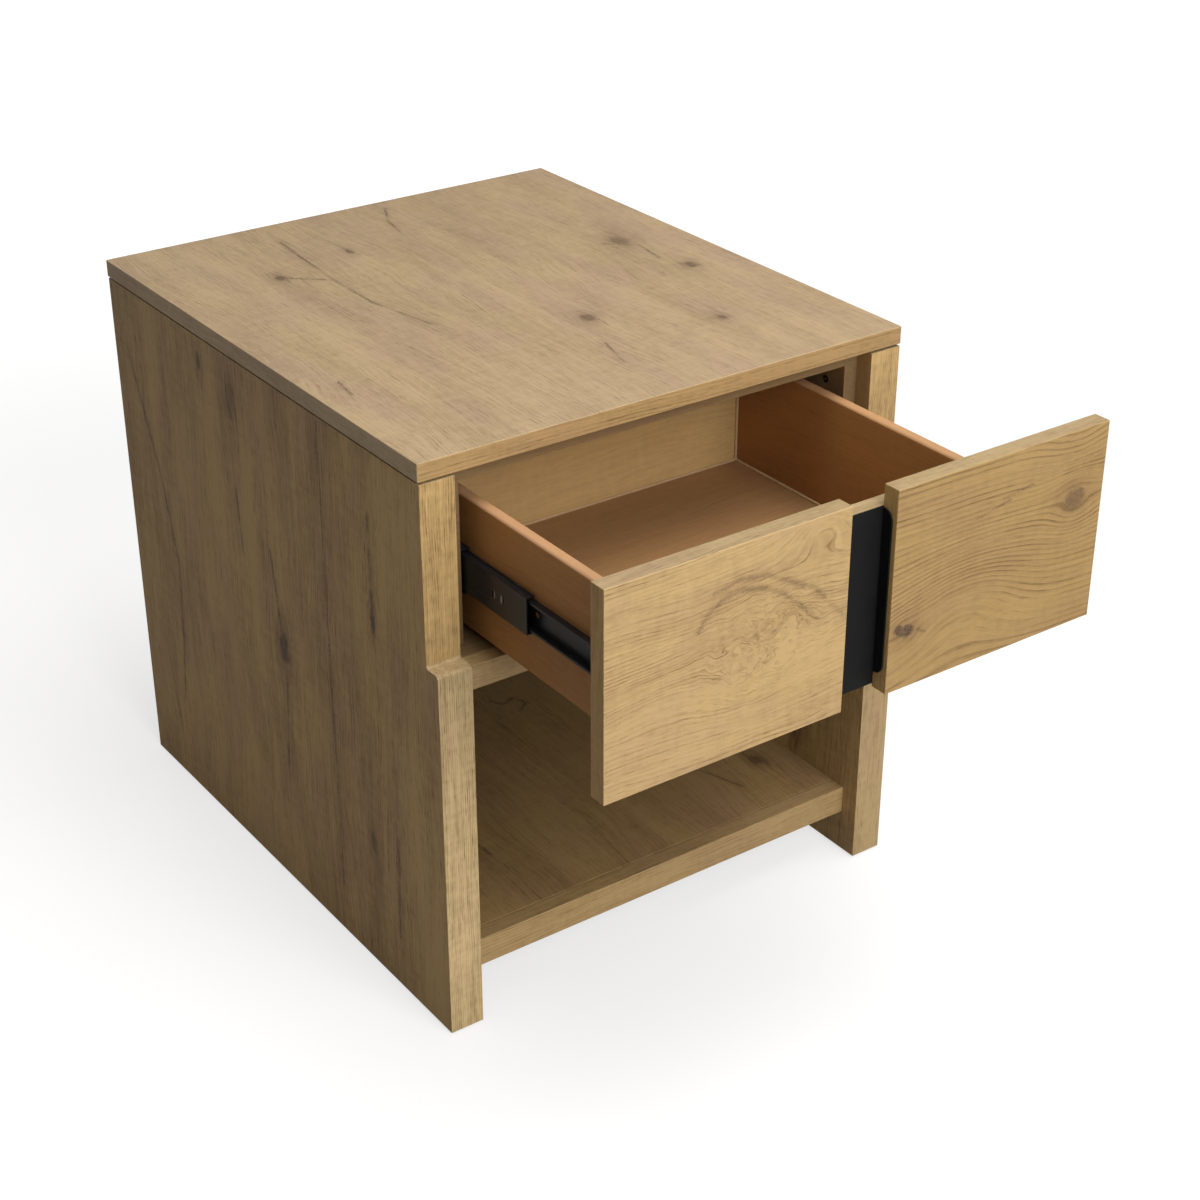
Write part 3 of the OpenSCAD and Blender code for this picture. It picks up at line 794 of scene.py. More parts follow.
# %% Start the oak effect with its growth lines
takes = {"Vector": "Vector"}
for label in ("Shift", "Core", "Shade", "Worn", "Seed", "Spacing", "Wander", "Lines", "Texture", "Blotches"):
    takes[label] = "Float"
for label in ("Pale", "Deep", "Knot Colour"):
    takes[label] = "Color"
oak_effect, taken = new_effect("Oak", takes, {"Color": "Color", "Roughness": "Float", "Height": "Float"})
vector, seed = taken["Vector"], taken["Seed"]


def layer(places, lengths, detail):
    """A noise round zero, with the board's own seed."""
    return noise(places, lengths, seed, detail) - 0.5


places = parts_of(vector)
drift = layer(vector, (300, 85, 85), 1.5) * 60.0 + layer(vector, (55, 20, 20), 2) * 7.0
grown = places["Y"] + places["Z"] * 0.45 + drift * taken["Wander"] + taken["Shift"]
flow = add_node(oak_effect, "CombineXYZ", {0: places["X"], 1: grown, 2: places["Z"]})[0]
years = grown / taken["Spacing"]
season = years.sum_with("FRACT")
vigour = chance(years.sum_with("FLOOR") + seed)
fading = remap(noise(vector, (110, 16, 16), seed, detail=2), 0.32, 0.62, 0.22, 1.0)
line = remap(season, 0.42, 0.88) * remap(season, 1.0, 0.92) * fading * (vigour * 0.8 + 0.2)
print("growth lines of the oak:", len(oak_effect.nodes), "nodes")

# %% Add the pores, the fibres and the changes of tone
pores = remap(noise(flow, (15, 0.9, 0.9), seed, detail=1), 0.56, 0.70) * (line * 0.7 + 0.35)
fibres = layer(flow, (60, 2.0, 2.0), 4)
streaks = layer(flow, (90, 7, 20), 3)
ripples = layer(vector, (7, 22, 22), 2)
mottle = layer(vector, (10, 3.2, 3.2), 3)
blotches = layer(vector, (230, 40, 40), 3)
strip = ((places["Y"] + seed * 17.0) / 118.0).sum_with("FLOOR")
texture = pores * 0.30 + fibres * 0.55 + streaks * 0.30 + ripples * 0.26 + mottle * 0.34
# Worn makes the edges paler: wear, and a painted highlight along the rounded edges.
darkness = taken["Worn"] * -0.12 + 0.08 + line * taken["Lines"] + texture * taken["Texture"]
darkness = darkness + blotches * taken["Blotches"] + chance(strip + seed) * taken["Blotches"] * 0.14
darkness = (darkness + taken["Shade"] * 0.50).limited()
print("with pores, fibres and tones:", len(oak_effect.nodes), "nodes")

# %% Colour the wood, its knots and its surface
MAUVE = (0.88, 0.84, 1.0, 1)
mauve = remap(noise(vector, (150, 55, 55), seed, detail=3), 0.42, 0.68) * 0.65 * taken["Blotches"]
mauve = (mauve + taken["Shade"] * 0.3).sum_with("MINIMUM", 1.0)
split = layer(vector, (9, 3.5, 9), 2).sum_with("ABSOLUTE")
heart = taken["Core"] * remap(split, 0.09, 0.015, 0.68, 1.0)
wood = mix_colours(darkness, taken["Pale"], taken["Deep"])
wood = mix_colours(mauve, wood, MAUVE, way="MULTIPLY")
wood = mix_colours(heart, wood, taken["Knot Colour"])
rough = pores * 0.18 + fibres * 0.25 + (heart * -0.12 + 0.58)
height = pores * -1.0 + line * -0.45 + fibres * 0.9 + ripples * 0.6
give(oak_effect, Color=wood, Roughness=rough, Height=height)

# %% [markdown]
# ## Laying veneer on a board
# Veneer is laid with its grain along one edge of the board. `grain_places` turns the board's own
# coordinates so that the first axis runs along the grain, the second across it and the third
# into the board. `veneer` then builds one finish out of the effects: first the knots and their
# neighbours, which shift the growth lines, and then the oak itself.

# %% Helpers that turn a board's places to its grain
PALE = (0.375, 0.250, 0.108, 1)
DEEP = (0.165, 0.097, 0.034, 1)
KNOT_BROWN = (0.066, 0.037, 0.022, 1)
THROUGH = 1e6


def in_grain(along, across):
    """The three axes in the order along the grain, across it and into the board."""
    return along, across, ({"X", "Y", "Z"} - {along, across}).pop()


def grain_places(tree, along, across):
    """The places on a board in mm, along the grain, across it and into the board."""
    parts = parts_of(add_node(tree, "TexCoord")["Object"] / (MM, MM, MM))
    turned = {number: parts[axis] for number, axis in enumerate(in_grain(along, across))}
    return add_node(tree, "CombineXYZ", turned)[0]


def box_in_grain(node, along, across):
    """The lowest and highest corner of a CAD part in mm, along the grain, across it and inward."""
    order = ["XYZ".index(axis) for axis in in_grain(along, across)]
    return [tuple(corner[axis] / MM for axis in order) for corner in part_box(node)]


# %% Helpers that lay veneer
def new_material(name):
    """Starts a material and returns it with its tree and its Principled BSDF."""
    material = bpy.data.materials.new(name)
    material.use_nodes = True
    return material, material.node_tree, material.node_tree.nodes["Principled BSDF"]


def surface(tree, shader, results, bump):
    """Joins a pattern's colour, roughness and height to the shader."""
    join(tree, results["Color"], shader.inputs["Base Color"])
    join(tree, results["Roughness"], shader.inputs["Roughness"])
    sockets = {"Height": results["Height"], "Strength": 1.0, "Distance": bump * MM}
    join(tree, add_node(tree, "Bump", sockets)[0], shader.inputs["Normal"])


def add_up(found, way):
    """Adds up the results of all marks on a board, or takes the strongest."""
    total = found[0]
    for extra in found[1:]:
        total = total.sum_with(way, extra)
    return total


def veneer(
    name, node, along, across, seed, knots=(), cracks=(), flames=(), burls=(), pale=PALE, deep=DEEP,
    spacing=5.0, wander=1.0, lines=0.45, texture=1.8, blotches=0.7, bump=0.25, crack_dark=0.85,
):
    """Builds the oak finish for one board, with the marks that it is given, in mm.

    A knot is (along, across, length, width, spread, dark), a flame is (along, across, length,
    width, height), and a burl is (along, across, length, width, stir, spread). A crack is its
    start (along, across) and then its turns, each of them (along, across, width).
    """
    material, tree, shader = new_material(name)
    places = grain_places(tree, along, across)
    low, high = box_in_grain(node, along, across)
    wear_and_highlight = use_effect(tree, wear_and_highlight_effect, Vector=places, Low=low, High=high, Seed=seed)["Worn"]
    unsteady = add_node(tree, "TexNoise", {"Vector": places / (9, 9, 9), "Detail": 2})["Color"]
    unsteady = unsteady - (0.5, 0.5, 0.5)
    found = {"Shift": [], "Core": [], "Shade": []}

    def draw(effect, where, **sockets):
        """Places an effect and keeps what it puts out."""
        results = use_effect(tree, effect, Vector=where, **sockets)
        for label in found:
            if label in results:
                found[label].append(results[label])

    def mark(effect, where, numbers, *labels, **sockets):
        """Draws a mark given by its middle, its length and width, and the values with labels."""
        place, size = (*numbers[:2], 0), (*numbers[2:4], THROUGH)
        draw(effect, where, Place=place, Size=size, **dict(zip(labels, numbers[4:])), **sockets)

    for knot in knots:
        mark(knot_effect, places + unsteady * (4, 3, 0), knot, "Spread", "Dark")
    for start, *turns in cracks:
        for *end, width in turns:
            line = {"Start": (*start, 0), "End": (*end, 0), "Width": width, "Dark": crack_dark}
            draw(crack_effect, places + unsteady * (9, 7, 0), **line)
            start = end
    for flame in flames:
        mark(flame_effect, places, flame, "Height")
    for burl in burls:
        mark(burl_effect, places, burl, "Stir", "Spread", Seed=seed)
    ways = {"Shift": "ADD", "Core": "MAXIMUM", "Shade": "MAXIMUM"}
    sockets = {label: add_up(found[label], way) for label, way in ways.items() if found[label]}
    results = use_effect(
        tree, oak_effect, Vector=places, Worn=wear_and_highlight, Seed=seed, Spacing=spacing, Wander=wander, Lines=lines,
        Texture=texture, Blotches=blotches, Pale=pale, Deep=deep, Knot_Colour=KNOT_BROWN, **sockets,
    )
    surface(tree, shader, results, bump)
    shader.inputs["Specular IOR Level"].default_value = 0.3
    print(f"veneer {name}: {len(knots)} knots, {len(flames)} flames, {len(tree.nodes)} nodes")
    return material


def lay(piece, material, wanted=None):
    """Gives a finish to a whole piece, or to those of its faces whose centre and normal are wanted."""
    piece.data.materials.append(material)
    number = len(piece.data.materials) - 1
    for face in piece.data.polygons:
        if wanted is None or wanted(face.center, face.normal):
            face.material_index = number


# %% [markdown]
# ## The veneer of the top
# The grain of the top runs from front to back. Knots are scattered over its rear half, with
# a long dark streak to their left. Its front and rear edges carry a band whose grain runs along
# the edge instead, and those faces are told apart by their normals.

# %% Lay the veneer of the top
top_knots = (
    (293, -153, 7, 5, 5, 0.6),
    (323, -54, 7, 4, 3, 0.6),
    (19, 39, 9, 7, 6, 0.6),
    (186, 198, 13, 8, 5, 0.45),
    (82, 215, 9, 6, 5, 0.6),
    (-56, 149, 5, 4, 3, 0.4),
)
top_cracks = (
    ((425, 49), (385, 30, 1.2), (346, 22, 1.1)),
    ((392, -100), (334, -105, 1.5), (255, -110, 1.2), (179, -111, 1.1), (93, -94, 1.0)),
    ((290, -148), (258, -112, 1.3)),
    ((187, 178), (165, 208, 1.7), (118, 201, 1.2)),
    ((90, 208), (76, 222, 1.3)),
    ((26, 34), (10, 46, 1.4)),
    ((18, -240), (-15, -245, 1.3)),
    ((-45, 15), (-94, 2, 1.4)),
)
top_flames = ((230, -30, 120, 60, 20), (60, 110, 110, 50, -16), (-60, -80, 150, 50, 14))
# The top's two colours are greyer and bluer than the other oak's: a painted sheen, standing in for the soft
# reflection of the studio on the top.
top_pale_with_painted_sheen = (0.365, 0.262, 0.146, 1)
top_deep_with_painted_sheen = (0.175, 0.113, 0.055, 1)
top_band_pale = (0.360, 0.228, 0.092, 1)
top_veneer = veneer(
    "top veneer", "top_panel", "Y", "X", 3.1, knots=top_knots, cracks=top_cracks, flames=top_flames,
    pale=top_pale_with_painted_sheen, deep=top_deep_with_painted_sheen, lines=0.17, spacing=4.2, texture=1.5, blotches=0.9, crack_dark=0.65,
)
top_band = veneer(
    "top edge band", "top_panel", "X", "Z", 8.4, lines=0.42, spacing=3.5, wander=0.35, pale=top_band_pale
)
lay(top_board, top_veneer)
lay(top_board, top_band, lambda centre, normal: abs(normal.y) > 0.8)

# %% [markdown]
# ## The veneer of the sides
# On the sides the grain stands upright. The left side shows one dark knot near its middle, and
# soft dark streaks that run down the board for most of its height.

# %% Lay the veneer of the sides
left_knots = (
    (292, 103, 17, 7, 9, 0.8),
    (405, -83, 11, 4, 5, 1.0),
    (554, 245, 10, 4, 5, 0.8),
    (150, -60, 9, 4, 4, 0.6),
    (530, 180, 16, 7, 5, 0.3),
)
left_cracks = (
    (
        (512, 419), (459, 397, 1.5), (391, 368, 1.6), (345, 356, 1.8), (291, 341, 1.7), (196, 348, 1.6),
        (106, 361, 1.5),
    ),
    ((437, 183), (371, 179, 1.6)),
    ((516, -83), (458, -82, 2.0), (405, -83, 2.8)),
    ((575, 4), (60, 8, 1.0)),
    ((395, 118), (310, 105, 1.8)),
    ((270, 100), (150, 112, 1.6)),
    ((180, -110), (60, -104, 1.4)),
)
right_knots = (
    (330, -20, 14, 6, 7, 0.8),
    (180, 240, 12, 6, 6, 0.7),
    (470, 330, 14, 5, 5, 0.8),
    (120, 300, 14, 5, 6, 0.5),
    (115, -90, 12, 5, 5, 0.6),
)
right_cracks = (
    ((450, 120), (330, 128, 1.6), (210, 118, 1.5)),
    ((160, 60), (60, 66, 1.8)),
    ((540, 250), (480, 262, 1.8)),
    ((575, 20), (60, 26, 1.2)),
    ((180, 250), (110, 262, 1.6)),
)
side_pale = (0.375, 0.240, 0.092, 1)
side_deep = (0.155, 0.088, 0.032, 1)
# The front bands of the two sides are one veneer, but the left one gets a paler colour as painted light and
# the right one a darker colour as painted shade, to even out how the light falls on the two front edges.
left_band_pale_painted_light = (0.455, 0.330, 0.164, 1)
right_band_pale_painted_shade = (0.345, 0.242, 0.114, 1)
upper_band_pale_painted_light = (0.485, 0.322, 0.130, 1)
for side, node, seed, knots, cracks, band_pale in (
    (left_side, "left_side_panel", 5.7, left_knots, left_cracks, left_band_pale_painted_light),
    (right_side, "right_side_panel", 12.3, right_knots, right_cracks, right_band_pale_painted_shade),
):
    side_veneer = veneer(
        f"{side.name} veneer", node, "Z", "Y", seed, knots=knots, cracks=cracks, pale=side_pale,
        deep=side_deep, lines=0.26, texture=2.0, blotches=1.4,
    )
    lay(side, side_veneer)
    band = {"lines": 0.45, "spacing": 2.4, "wander": 0.4, "texture": 2.2}
    front_band = veneer(f"{side.name} front band", node, "Z", "X", seed + 3, pale=band_pale, **band)
    lay(side, front_band, lambda centre, normal: normal.y < -0.5 or normal.z > 0.5)
    # Above the shoulder the front band is paler again: painted light where the open drawer's face shades the
    # upper front edge.
    upper_band = veneer(
        f"{side.name} upper front band painted light", node, "Z", "X", seed + 5, pale=upper_band_pale_painted_light, **band
    )
    lay(side, upper_band, lambda centre, normal: normal.y < -0.5 and centre.z > shoulder + hollow_radius)

# %% [markdown]
# ## The veneer of the drawer faces
# The faces are the show wood of the piece, with their grain running across. The left one has
# a burl under two dark arches of bark. The right one has lines that fan out of a small split
# knot near the pull and level off to the right, and a soft grey knot at its upper right. Their
# narrow edges carry bands, a greyer one along the top and bottom and a browner one at the ends.

# %% Lay the veneer of the left face
left_face_burl = ((-116, 500, 50, 37, 105, 31),)
left_face_flames = (
    (-52, 590, 40, 24, 24),
    (-205, 480, 60, 26, 10),
)
left_face_cracks = (
    (
        (-183, 531), (-174, 545, 1.9), (-158, 553, 2.3), (-138, 556, 2.6), (-115, 550, 2.6),
        (-94, 538, 2.4), (-57, 504, 2.0),
    ),
    ((-168, 561), (-142, 566, 1.8), (-112, 561, 2.2), (-62, 534, 2.2), (-26, 494, 2.0)),
)
left_face_veneer = veneer(
    "left face veneer", "left_face_panel", "X", "Z", 21.9, cracks=left_face_cracks,
    flames=left_face_flames, burls=left_face_burl, lines=0.42, spacing=3.8, wander=0.6, texture=1.6,
    crack_dark=0.42,
)
lay(left_face, left_face_veneer)

# %% Lay the veneer of the right face
right_face_knots = ((240, 531, 12, 10, 13, 0.55), (35, 463, 5, 4, 3, 1.0), (45, 459, 8, 6, 4, 1.0))
right_face_cracks = (
    ((120, 545), (158, 553, 1.1)),
    ((150, 556), (185, 560, 1.1)),
    ((56, 458), (66, 452, 1.2)),
)
right_face_flames = ((112, 466, 76, 52, 36), (238, 585, 45, 40, -14))
# The right face's pale colour is darker than that of the left face: painted shade for the light that falls
# off towards the right.
right_face_veneer = veneer(
    "right face veneer", "right_face_panel", "X", "Z", 27.2, knots=right_face_knots,
    cracks=right_face_cracks, flames=right_face_flames, lines=0.85, spacing=6.0, wander=0.25,
    texture=1.5, pale=(0.300, 0.189, 0.070, 1), crack_dark=0.6,
)
lay(right_face, right_face_veneer)

# %% Lay the bands on the faces' edges
long_edge_pale = (0.340, 0.243, 0.121, 1)
end_edge_pale = (0.345, 0.212, 0.072, 1)
for face, node in ((left_face, "left_face_panel"), (right_face, "right_face_panel")):
    long_band = veneer(
        f"{face.name} long band", node, "X", "Y", 33.0, lines=0.30, spacing=3, pale=long_edge_pale
    )
    end_band = veneer(
        f"{face.name} end band", node, "Z", "Y", 31.0, lines=0.35, spacing=3, pale=end_edge_pale
    )
    lay(face, long_band, lambda centre, normal: abs(normal.z) > 0.8)
    lay(face, end_band, lambda centre, normal: abs(normal.x) > 0.8)

# %% [markdown]
# ## The veneer of the smaller oak boards
# The lips of the rail and the shelf, and the front of the drawer box, all have their grain running
# from side to side. The shelf's own grain runs from front to back like that of the top.

# %% Lay the veneer of the shelf, the lips and the box front
shelf_knots = ((-77, 195, 9, 6, 7, 0.7), (-40, 140, 6, 4, 4, 0.4))
shelf_cracks = (
    ((196, 26), (182, 34, 1.6), (188, 52, 1.5), (170, 58, 1.5), (160, 44, 1.4)),
    ((-60, 190), (-100, 205, 1.6)),
    ((60, -150), (-60, -140, 1.2)),
    ((-20, 120), (-110, 150, 1.2)),
)
# The shelf's pale colour is darker than the other oak's: painted shade for the shade under the drawer.
shelf_pale_painted_shade = (0.305, 0.198, 0.080, 1)
shelf_lip_pale = (0.335, 0.222, 0.095, 1)
shelf_veneer = veneer(
    "shelf veneer", "shelf_board", "Y", "X", 41.5, knots=shelf_knots, cracks=shelf_cracks,
    pale=shelf_pale_painted_shade, deep=side_deep, lines=0.24, blotches=1.2,
)
lay(shelf, shelf_veneer)
for board, name, node, seed, settings in (
    (shelf_lip, "shelf lip", "shelf_nosing", 44.8, {"spacing": 4, "wander": 0.5, "pale": shelf_lip_pale}),
    (drawer_rail_lip, "rail lip", "drawer_rail_nosing", 47.1, {"spacing": 4, "wander": 0.5}),
    (box_front, "box front", "sub_front", 52.6, {"lines": 0.4, "pale": long_edge_pale}),
):
    lay(board, veneer(f"{name} veneer", node, "X", "Z", seed, **settings))

# %% [markdown]
# ## Plain boards inside
# The boards that nobody sees are plainer. The rails, packing blocks and back share one darkened colour, a
# painted shade that lets the rail under the top read as shadow; the back is thin ply with a brown face, and
# the drawer box is stained a warm orange brown. They use the same oak effect with weak lines and their own
# colours.

# %% Lay the plain boards
# These two colours are darkened as painted shade, so that the rail under the top's front edge reads as
# shadow.
INNER_PALE_PAINTED_SHADE = (0.208, 0.128, 0.055, 1)
INNER_DEEP_PAINTED_SHADE = (0.150, 0.090, 0.036, 1)
for piece, node, along, across in (
    (drawer_rail, "drawer_rail_board", "X", "Y"),
    (front_stretcher, "top_front_rail", "X", "Y"),
    (back_stretcher, "top_back_rail", "X", "Y"),
    (left_packing, "left_slide_spacer", "Y", "Z"),
    (right_packing, "right_slide_spacer", "Y", "Z"),
    (back, "back_panel", "Z", "X"),
):
    seed = 60.0 + len(node)
    plain = {"lines": 0.25, "spacing": 7, "pale": INNER_PALE_PAINTED_SHADE, "deep": INNER_DEEP_PAINTED_SHADE}
    lay(piece, veneer(f"{piece.name} wood", node, along, across, seed, **plain))

# %% Stain the drawer box
# The back and the sides' top edges are the same stained board as the sides, but get paler colours: painted
# light, for the light from the front and overhead that reaches them.
SIDE_STAIN = (0.345, 0.157, 0.046, 1)
EDGE_STAIN_PAINTED_LIGHT = (0.440, 0.245, 0.115, 1)
BACK_STAIN_PAINTED_LIGHT = (0.580, 0.380, 0.157, 1)
BOTTOM_STAIN = (0.345, 0.185, 0.075, 1)
BEAD_TAN = (0.560, 0.380, 0.200, 1)
even = {"lines": 0.10, "spacing": 6, "texture": 1.0, "blotches": 0.35, "bump": 0.10}
for piece, node, along, across, stain in (
    (drawer_left, "drawer_left_side", "Y", "Z", SIDE_STAIN),
    (drawer_right, "drawer_right_side", "Y", "Z", SIDE_STAIN),
    (box_back, "drawer_back", "X", "Z", BACK_STAIN_PAINTED_LIGHT),
    (box_bottom, "drawer_bottom", "X", "Y", BOTTOM_STAIN),
    (bead, "drawer_bottom", "X", "Y", BEAD_TAN),
):
    deep_stain = tuple(0.5 * part for part in stain[:3]) + (1,)
    seed = 80.0 + len(node)
    lay(piece, veneer(f"{piece.name} stain", node, along, across, seed, pale=stain, deep=deep_stain, **even))
for piece, node in ((drawer_left, "drawer_left_side"), (drawer_right, "drawer_right_side")):
    edge_stain = veneer(
        f"{piece.name} top edge", node, "Y", "X", 85.0, pale=EDGE_STAIN_PAINTED_LIGHT, deep=SIDE_STAIN, **even
    )
    lay(piece, edge_stain, lambda centre, normal: normal.z > 0.5 and centre.z > box_top - hand_radius)

# %% [markdown]
# ## Metal and plastic
# The pull and the slides are steel under a thin black coat. A sprayed coat is never quite even:
# it has a fine orange peel, and it wears to a duller grey where parts rub. The slide's balls,
# cages and the screws are bare or zinc-plated steel, so they are metallic, with fine scratches.
# One effect makes the peel and the scratches for all of them.

# %% The metal skin effect
skin_effect, taken = new_effect(
    "Metal skin",
    takes={"Vector": "Vector", "Seed": "Float", "Base": "Color", "Rubbed": "Color", "Dull": "Float"},
    gives={"Color": "Color", "Roughness": "Float", "Height": "Float"},
)
vector, seed = taken["Vector"], taken["Seed"]
peel = noise(vector, (0.7, 0.7, 0.7), seed, detail=2)
clouds = noise(vector, (35, 35, 35), seed, detail=3)
scratches = remap(noise(vector, (0.5, 22, 0.5), seed, detail=2), 0.60, 0.72)
rubbing = scratches * remap(clouds, 0.42, 0.66)
color = mix_colours(rubbing, taken["Base"], taken["Rubbed"])
rough = clouds * 0.22 + rubbing * 0.15 + taken["Dull"]
give(skin_effect, Color=color, Roughness=rough, Height=peel - rubbing * 0.5)
# A paler grey, painted round the slide's slots as a highlight.
SLOT_GLINT_GREY = (0.26, 0.26, 0.25, 1)


def metal(name, base, rubbed, metallic, dull, seed, bump=0.02, shine=0.5, glint_spots=()):
    """A metal or plastic skin. Dull is its roughness where it is cleanest, less a tenth.

    Round each spot in the list, a place along Y and Z in mm, a paler grey is mixed into the coat: a painted
    highlight.
    """
    material, tree, shader = new_material(name)
    places = grain_places(tree, "X", "Y")
    results = use_effect(tree, skin_effect, Vector=places, Seed=seed, Base=base, Rubbed=rubbed, Dull=dull)
    surface(tree, shader, results, bump)
    colour = results["Color"]
    # Each spot is a painted highlight.
    for spot in glint_spots:
        offset = (places - (0, *spot)) / (THROUGH, 1.1, 3.4)
        colour = mix_colours(remap(offset.length(), 1.5, 0.9), colour, SLOT_GLINT_GREY)
    join(tree, colour, shader.inputs["Base Color"])
    shader.inputs["Metallic"].default_value = metallic
    shader.inputs["Specular IOR Level"].default_value = shine
    return material


def dress(material, slot_name, *nodes):
    """Puts one finish on CAD parts that are shown as they are."""
    for node in nodes:
        cad[node].data.materials.clear()
        cad[node].data.materials.append(material)
    print(f"{material.name}: {len(nodes)} parts")


# %% Finish the pull, the slides, the screws and the small parts
pull_black, pull_rubbed = (0.0045, 0.0044, 0.0046, 1), (0.018, 0.017, 0.018, 1)
lay(pull, metal("black pull coat", pull_black, pull_rubbed, 0.0, 0.36, 1.0, shine=0.14))
slide_paint = ((0.016, 0.016, 0.018, 1), (0.16, 0.16, 0.17, 1), 0.35, 0.26, 2.0)
slide_coat = metal("black slide coat", *slide_paint)
# At the two slots of each middle member a paler grey is painted on the coat: painted highlights of the lit
# edges that show through the slots.
slide_low, slide_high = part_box("left_slide_middle_member")
slot_height = (slide_low.z + slide_high.z) / 2 / MM
slot_distances = (39.5, 51.0)
slots = [(slide_low.y / MM + distance, slot_height) for distance in slot_distances]
glinting_slide_coat = metal("slide coat with painted glints", *slide_paint, glint_spots=slots)
zinc = metal("zinc plate", (0.50, 0.50, 0.49, 1), (0.66, 0.65, 0.62, 1), 1.0, 0.24, 3.0)
cage_steel = metal("cage steel", (0.34, 0.34, 0.35, 1), (0.52, 0.52, 0.52, 1), 1.0, 0.28, 4.0)
ball_steel = metal("ball steel", (0.62, 0.62, 0.63, 1), (0.75, 0.75, 0.75, 1), 1.0, 0.06, 5.0, bump=0.004)
glide_grey = metal("grey glide", (0.20, 0.20, 0.205, 1), (0.32, 0.32, 0.32, 1), 0.0, 0.42, 6.0)
bumper_clear = metal("pale bumper", (0.55, 0.55, 0.52, 1), (0.66, 0.66, 0.62, 1), 0.0, 0.22, 7.0)
dress(
    slide_coat, "black_slide_steel",
    "left_slide_cabinet_member", "right_slide_cabinet_member",
    "left_slide_drawer_member", "right_slide_drawer_member",
)
dress(glinting_slide_coat, "black_slide_steel", "left_slide_middle_member", "right_slide_middle_member")
dress(
    zinc, "zinc_screw",
    "top_rail_screws", "spacer_screws", "back_panel_screws", "cabinet_slide_screws", "face_screws",
    "handle_screws", "drawer_slide_screws",
)
dress(cage_steel, "cage_steel", "outer_ball_cages", "inner_ball_cages")
dress(ball_steel, "ball_steel", "outer_balls", "inner_balls")
dress(glide_grey, "grey_glide", "floor_glides")
dress(bumper_clear, "clear_bumper", "drawer_bumpers")

# %% [markdown]
# ## Dowels
# The dowels are hidden once the boards are glued, but each one is still a part of the model. They
# are fluted beech, so they get a pale, fine version of the oak effect.

# %% Finish the dowels
BEECH_PALE = (0.56, 0.37, 0.21, 1)
BEECH_DEEP = (0.36, 0.21, 0.11, 1)
for node, along, across in (
    ("top_dowels", "Z", "Y"),
    ("shelf_dowels", "X", "Y"),
    ("rail_dowels", "X", "Y"),
    ("box_front_dowels", "Y", "X"),
    ("box_back_dowels", "X", "Z"),
):
    beech = veneer(
        f"{node} beech", node, along, across, 90.0, lines=0.2, spacing=2, pale=BEECH_PALE, deep=BEECH_DEEP
    )
    dress(beech, "dowel_wood", node)

# %% [markdown]
# ## The studio
# The floor is a wide pale sheet. Seen straight, it also glows a little, and more so far away,
# so that it reads as white paper with only a faint shadow on it. The Light Path node keeps that
# glow from lighting the wood. The world does the same: it is white to look at, and dim as a light.

# %% Floor and world
start_afresh()
bpy.ops.mesh.primitive_plane_add(size=60, location=(0, 0, 0))
floor = bpy.context.object
floor.name = "floor"
floor_paper, tree, shader = new_material("floor paper")
shader.inputs["Base Color"].default_value = (0.34, 0.335, 0.33, 1)
shader.inputs["Roughness"].default_value = 0.9
shader.inputs["Specular IOR Level"].default_value = 0.0
shader.inputs["Emission Color"].default_value = (1, 1, 1, 1)
glow_starts, glow_full = 1.1, 3.5
near_glow = 0.645
metres_away = add_node(tree, "TexCoord")["Object"].length()
paper_glow = remap(metres_away, glow_starts, glow_full, near_glow, 1.0)
seen_straight = add_node(tree, "LightPath")["Is Camera Ray"]
join(tree, seen_straight * paper_glow, shader.inputs["Emission Strength"])
floor.data.materials.append(floor_paper)

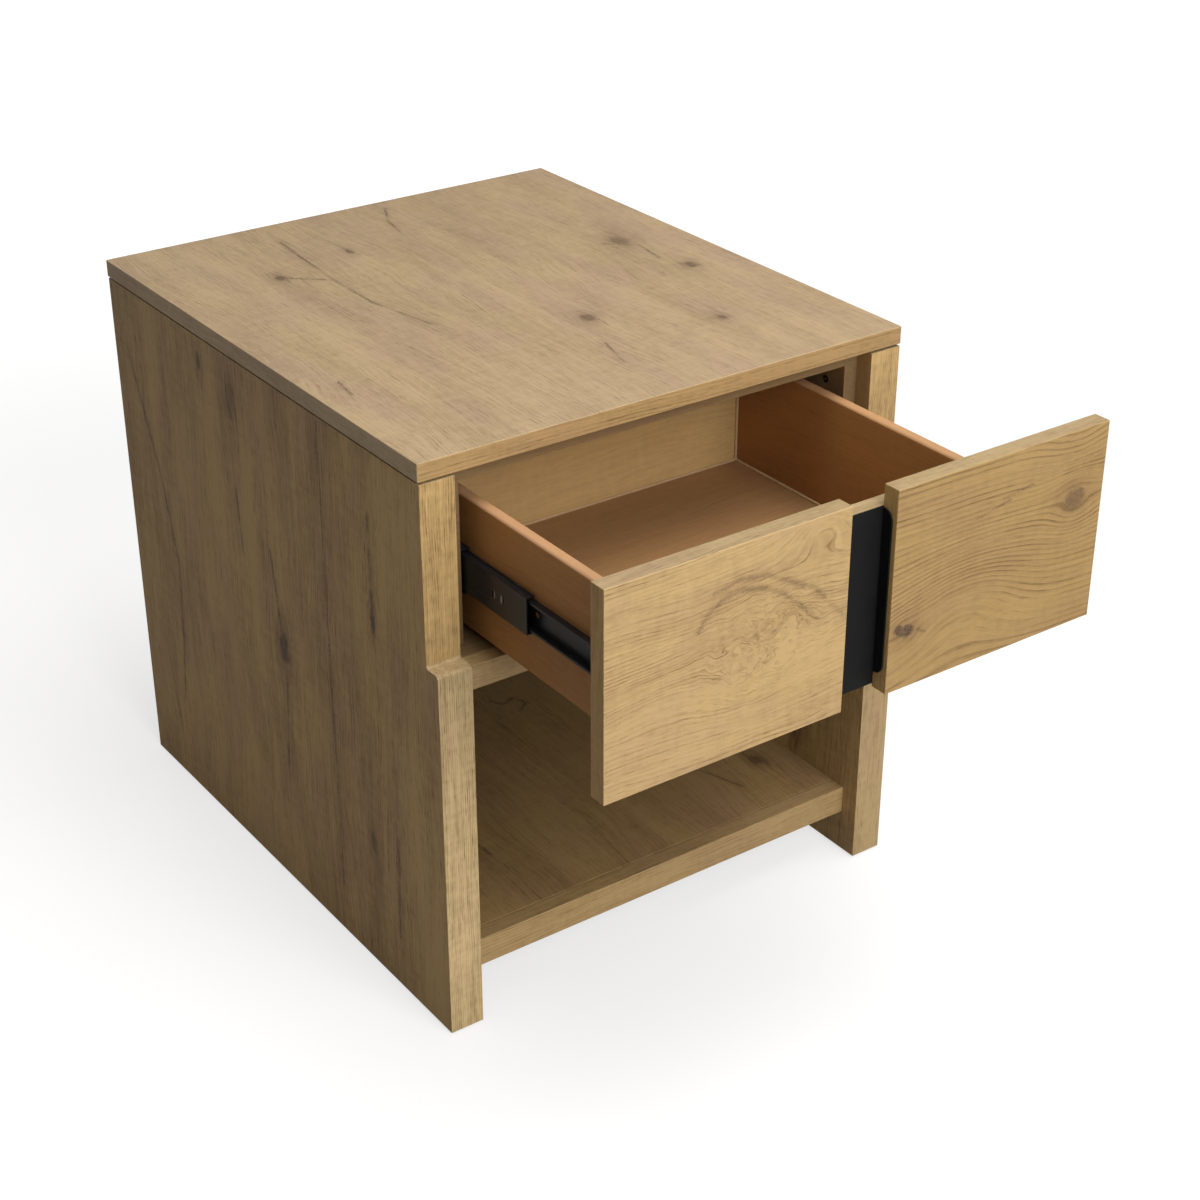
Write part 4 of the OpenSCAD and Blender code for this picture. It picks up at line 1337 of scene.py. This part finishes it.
world = bpy.data.worlds.new("studio")
bpy.context.scene.world = world
world.use_nodes = True
tree = world.node_tree
background = tree.nodes["Background"]
ambient_strength = 0.25
seen_straight = add_node(tree, "LightPath")["Is Camera Ray"]
strength = seen_straight * (1 - ambient_strength) + ambient_strength
background.inputs["Color"].default_value = (1, 1, 1, 1)
join(tree, strength, background.inputs["Strength"])
print("world lights the scene at", ambient_strength)

# %% [markdown]
# ## The lights
# Two large softboxes do the work. A tall one stands in front and reaches from the floor to well
# above the nightstand, so that its light comes round the open drawer from all heights and leaves
# no hard shadow on the legs. The other hangs overhead and a little forward, and lights the top and
# the inside of the drawer. The left side gets little more than what the room throws back, and
# a weak third softbox, low behind the nightstand, keeps its back from going black without
# whitening the top.

# %% Softboxes
def softbox(name, place, aim, width, height, watts):
    """An area light at one place, turned towards another."""
    light = bpy.data.lights.new(name, "AREA")
    light.shape = "RECTANGLE"
    light.size = width
    light.size_y = height
    light.energy = watts
    box = bpy.data.objects.new(name, light)
    box.location = place
    box.rotation_euler = (Vector(aim) - Vector(place)).to_track_quat("-Z", "Y").to_euler()
    bpy.context.scene.collection.objects.link(box)
    print(f"{name}: {watts} W, {width} m by {height} m")


softbox("front softbox", (-0.10, -3.0, 1.50), (0, -0.2, 0.45), 2.0, 2.8, 115)
softbox("overhead softbox", (0.40, -0.70, 3.0), (0.05, -0.25, 0.5), 2.0, 2.0, 82)
softbox("rear softbox", (0.10, 3.4, 0.40), (0, 0.3, 0.3), 2.0, 0.8, 42)

# %% [markdown]
# ## The camera
# The camera looks down at the front left corner. Its direction is given as two angles, how far
# round the nightstand it stands and how far it looks down, and the lens is a short telephoto.

# %% Camera
camera_place = Vector((-1.1316, -1.6463, 1.3841))
camera_round = radians(-35.458)
camera_down = radians(28.352)
level = cos(camera_down)
toward_object = -Vector((sin(camera_round) * level, -cos(camera_round) * level, sin(camera_down)))
lens = bpy.data.cameras.new("camera")
lens.lens = 66.22
lens.sensor_width = 36
lens.clip_end = 100
camera = bpy.data.objects.new("camera", lens)
camera.location = camera_place
camera.rotation_euler = toward_object.to_track_quat("-Z", "Y").to_euler()
bpy.context.scene.collection.objects.link(camera)
bpy.context.scene.camera = camera
bpy.context.scene.view_settings.view_transform = "Standard"
print("the camera is", round(camera_place.length, 3), "m from the origin")
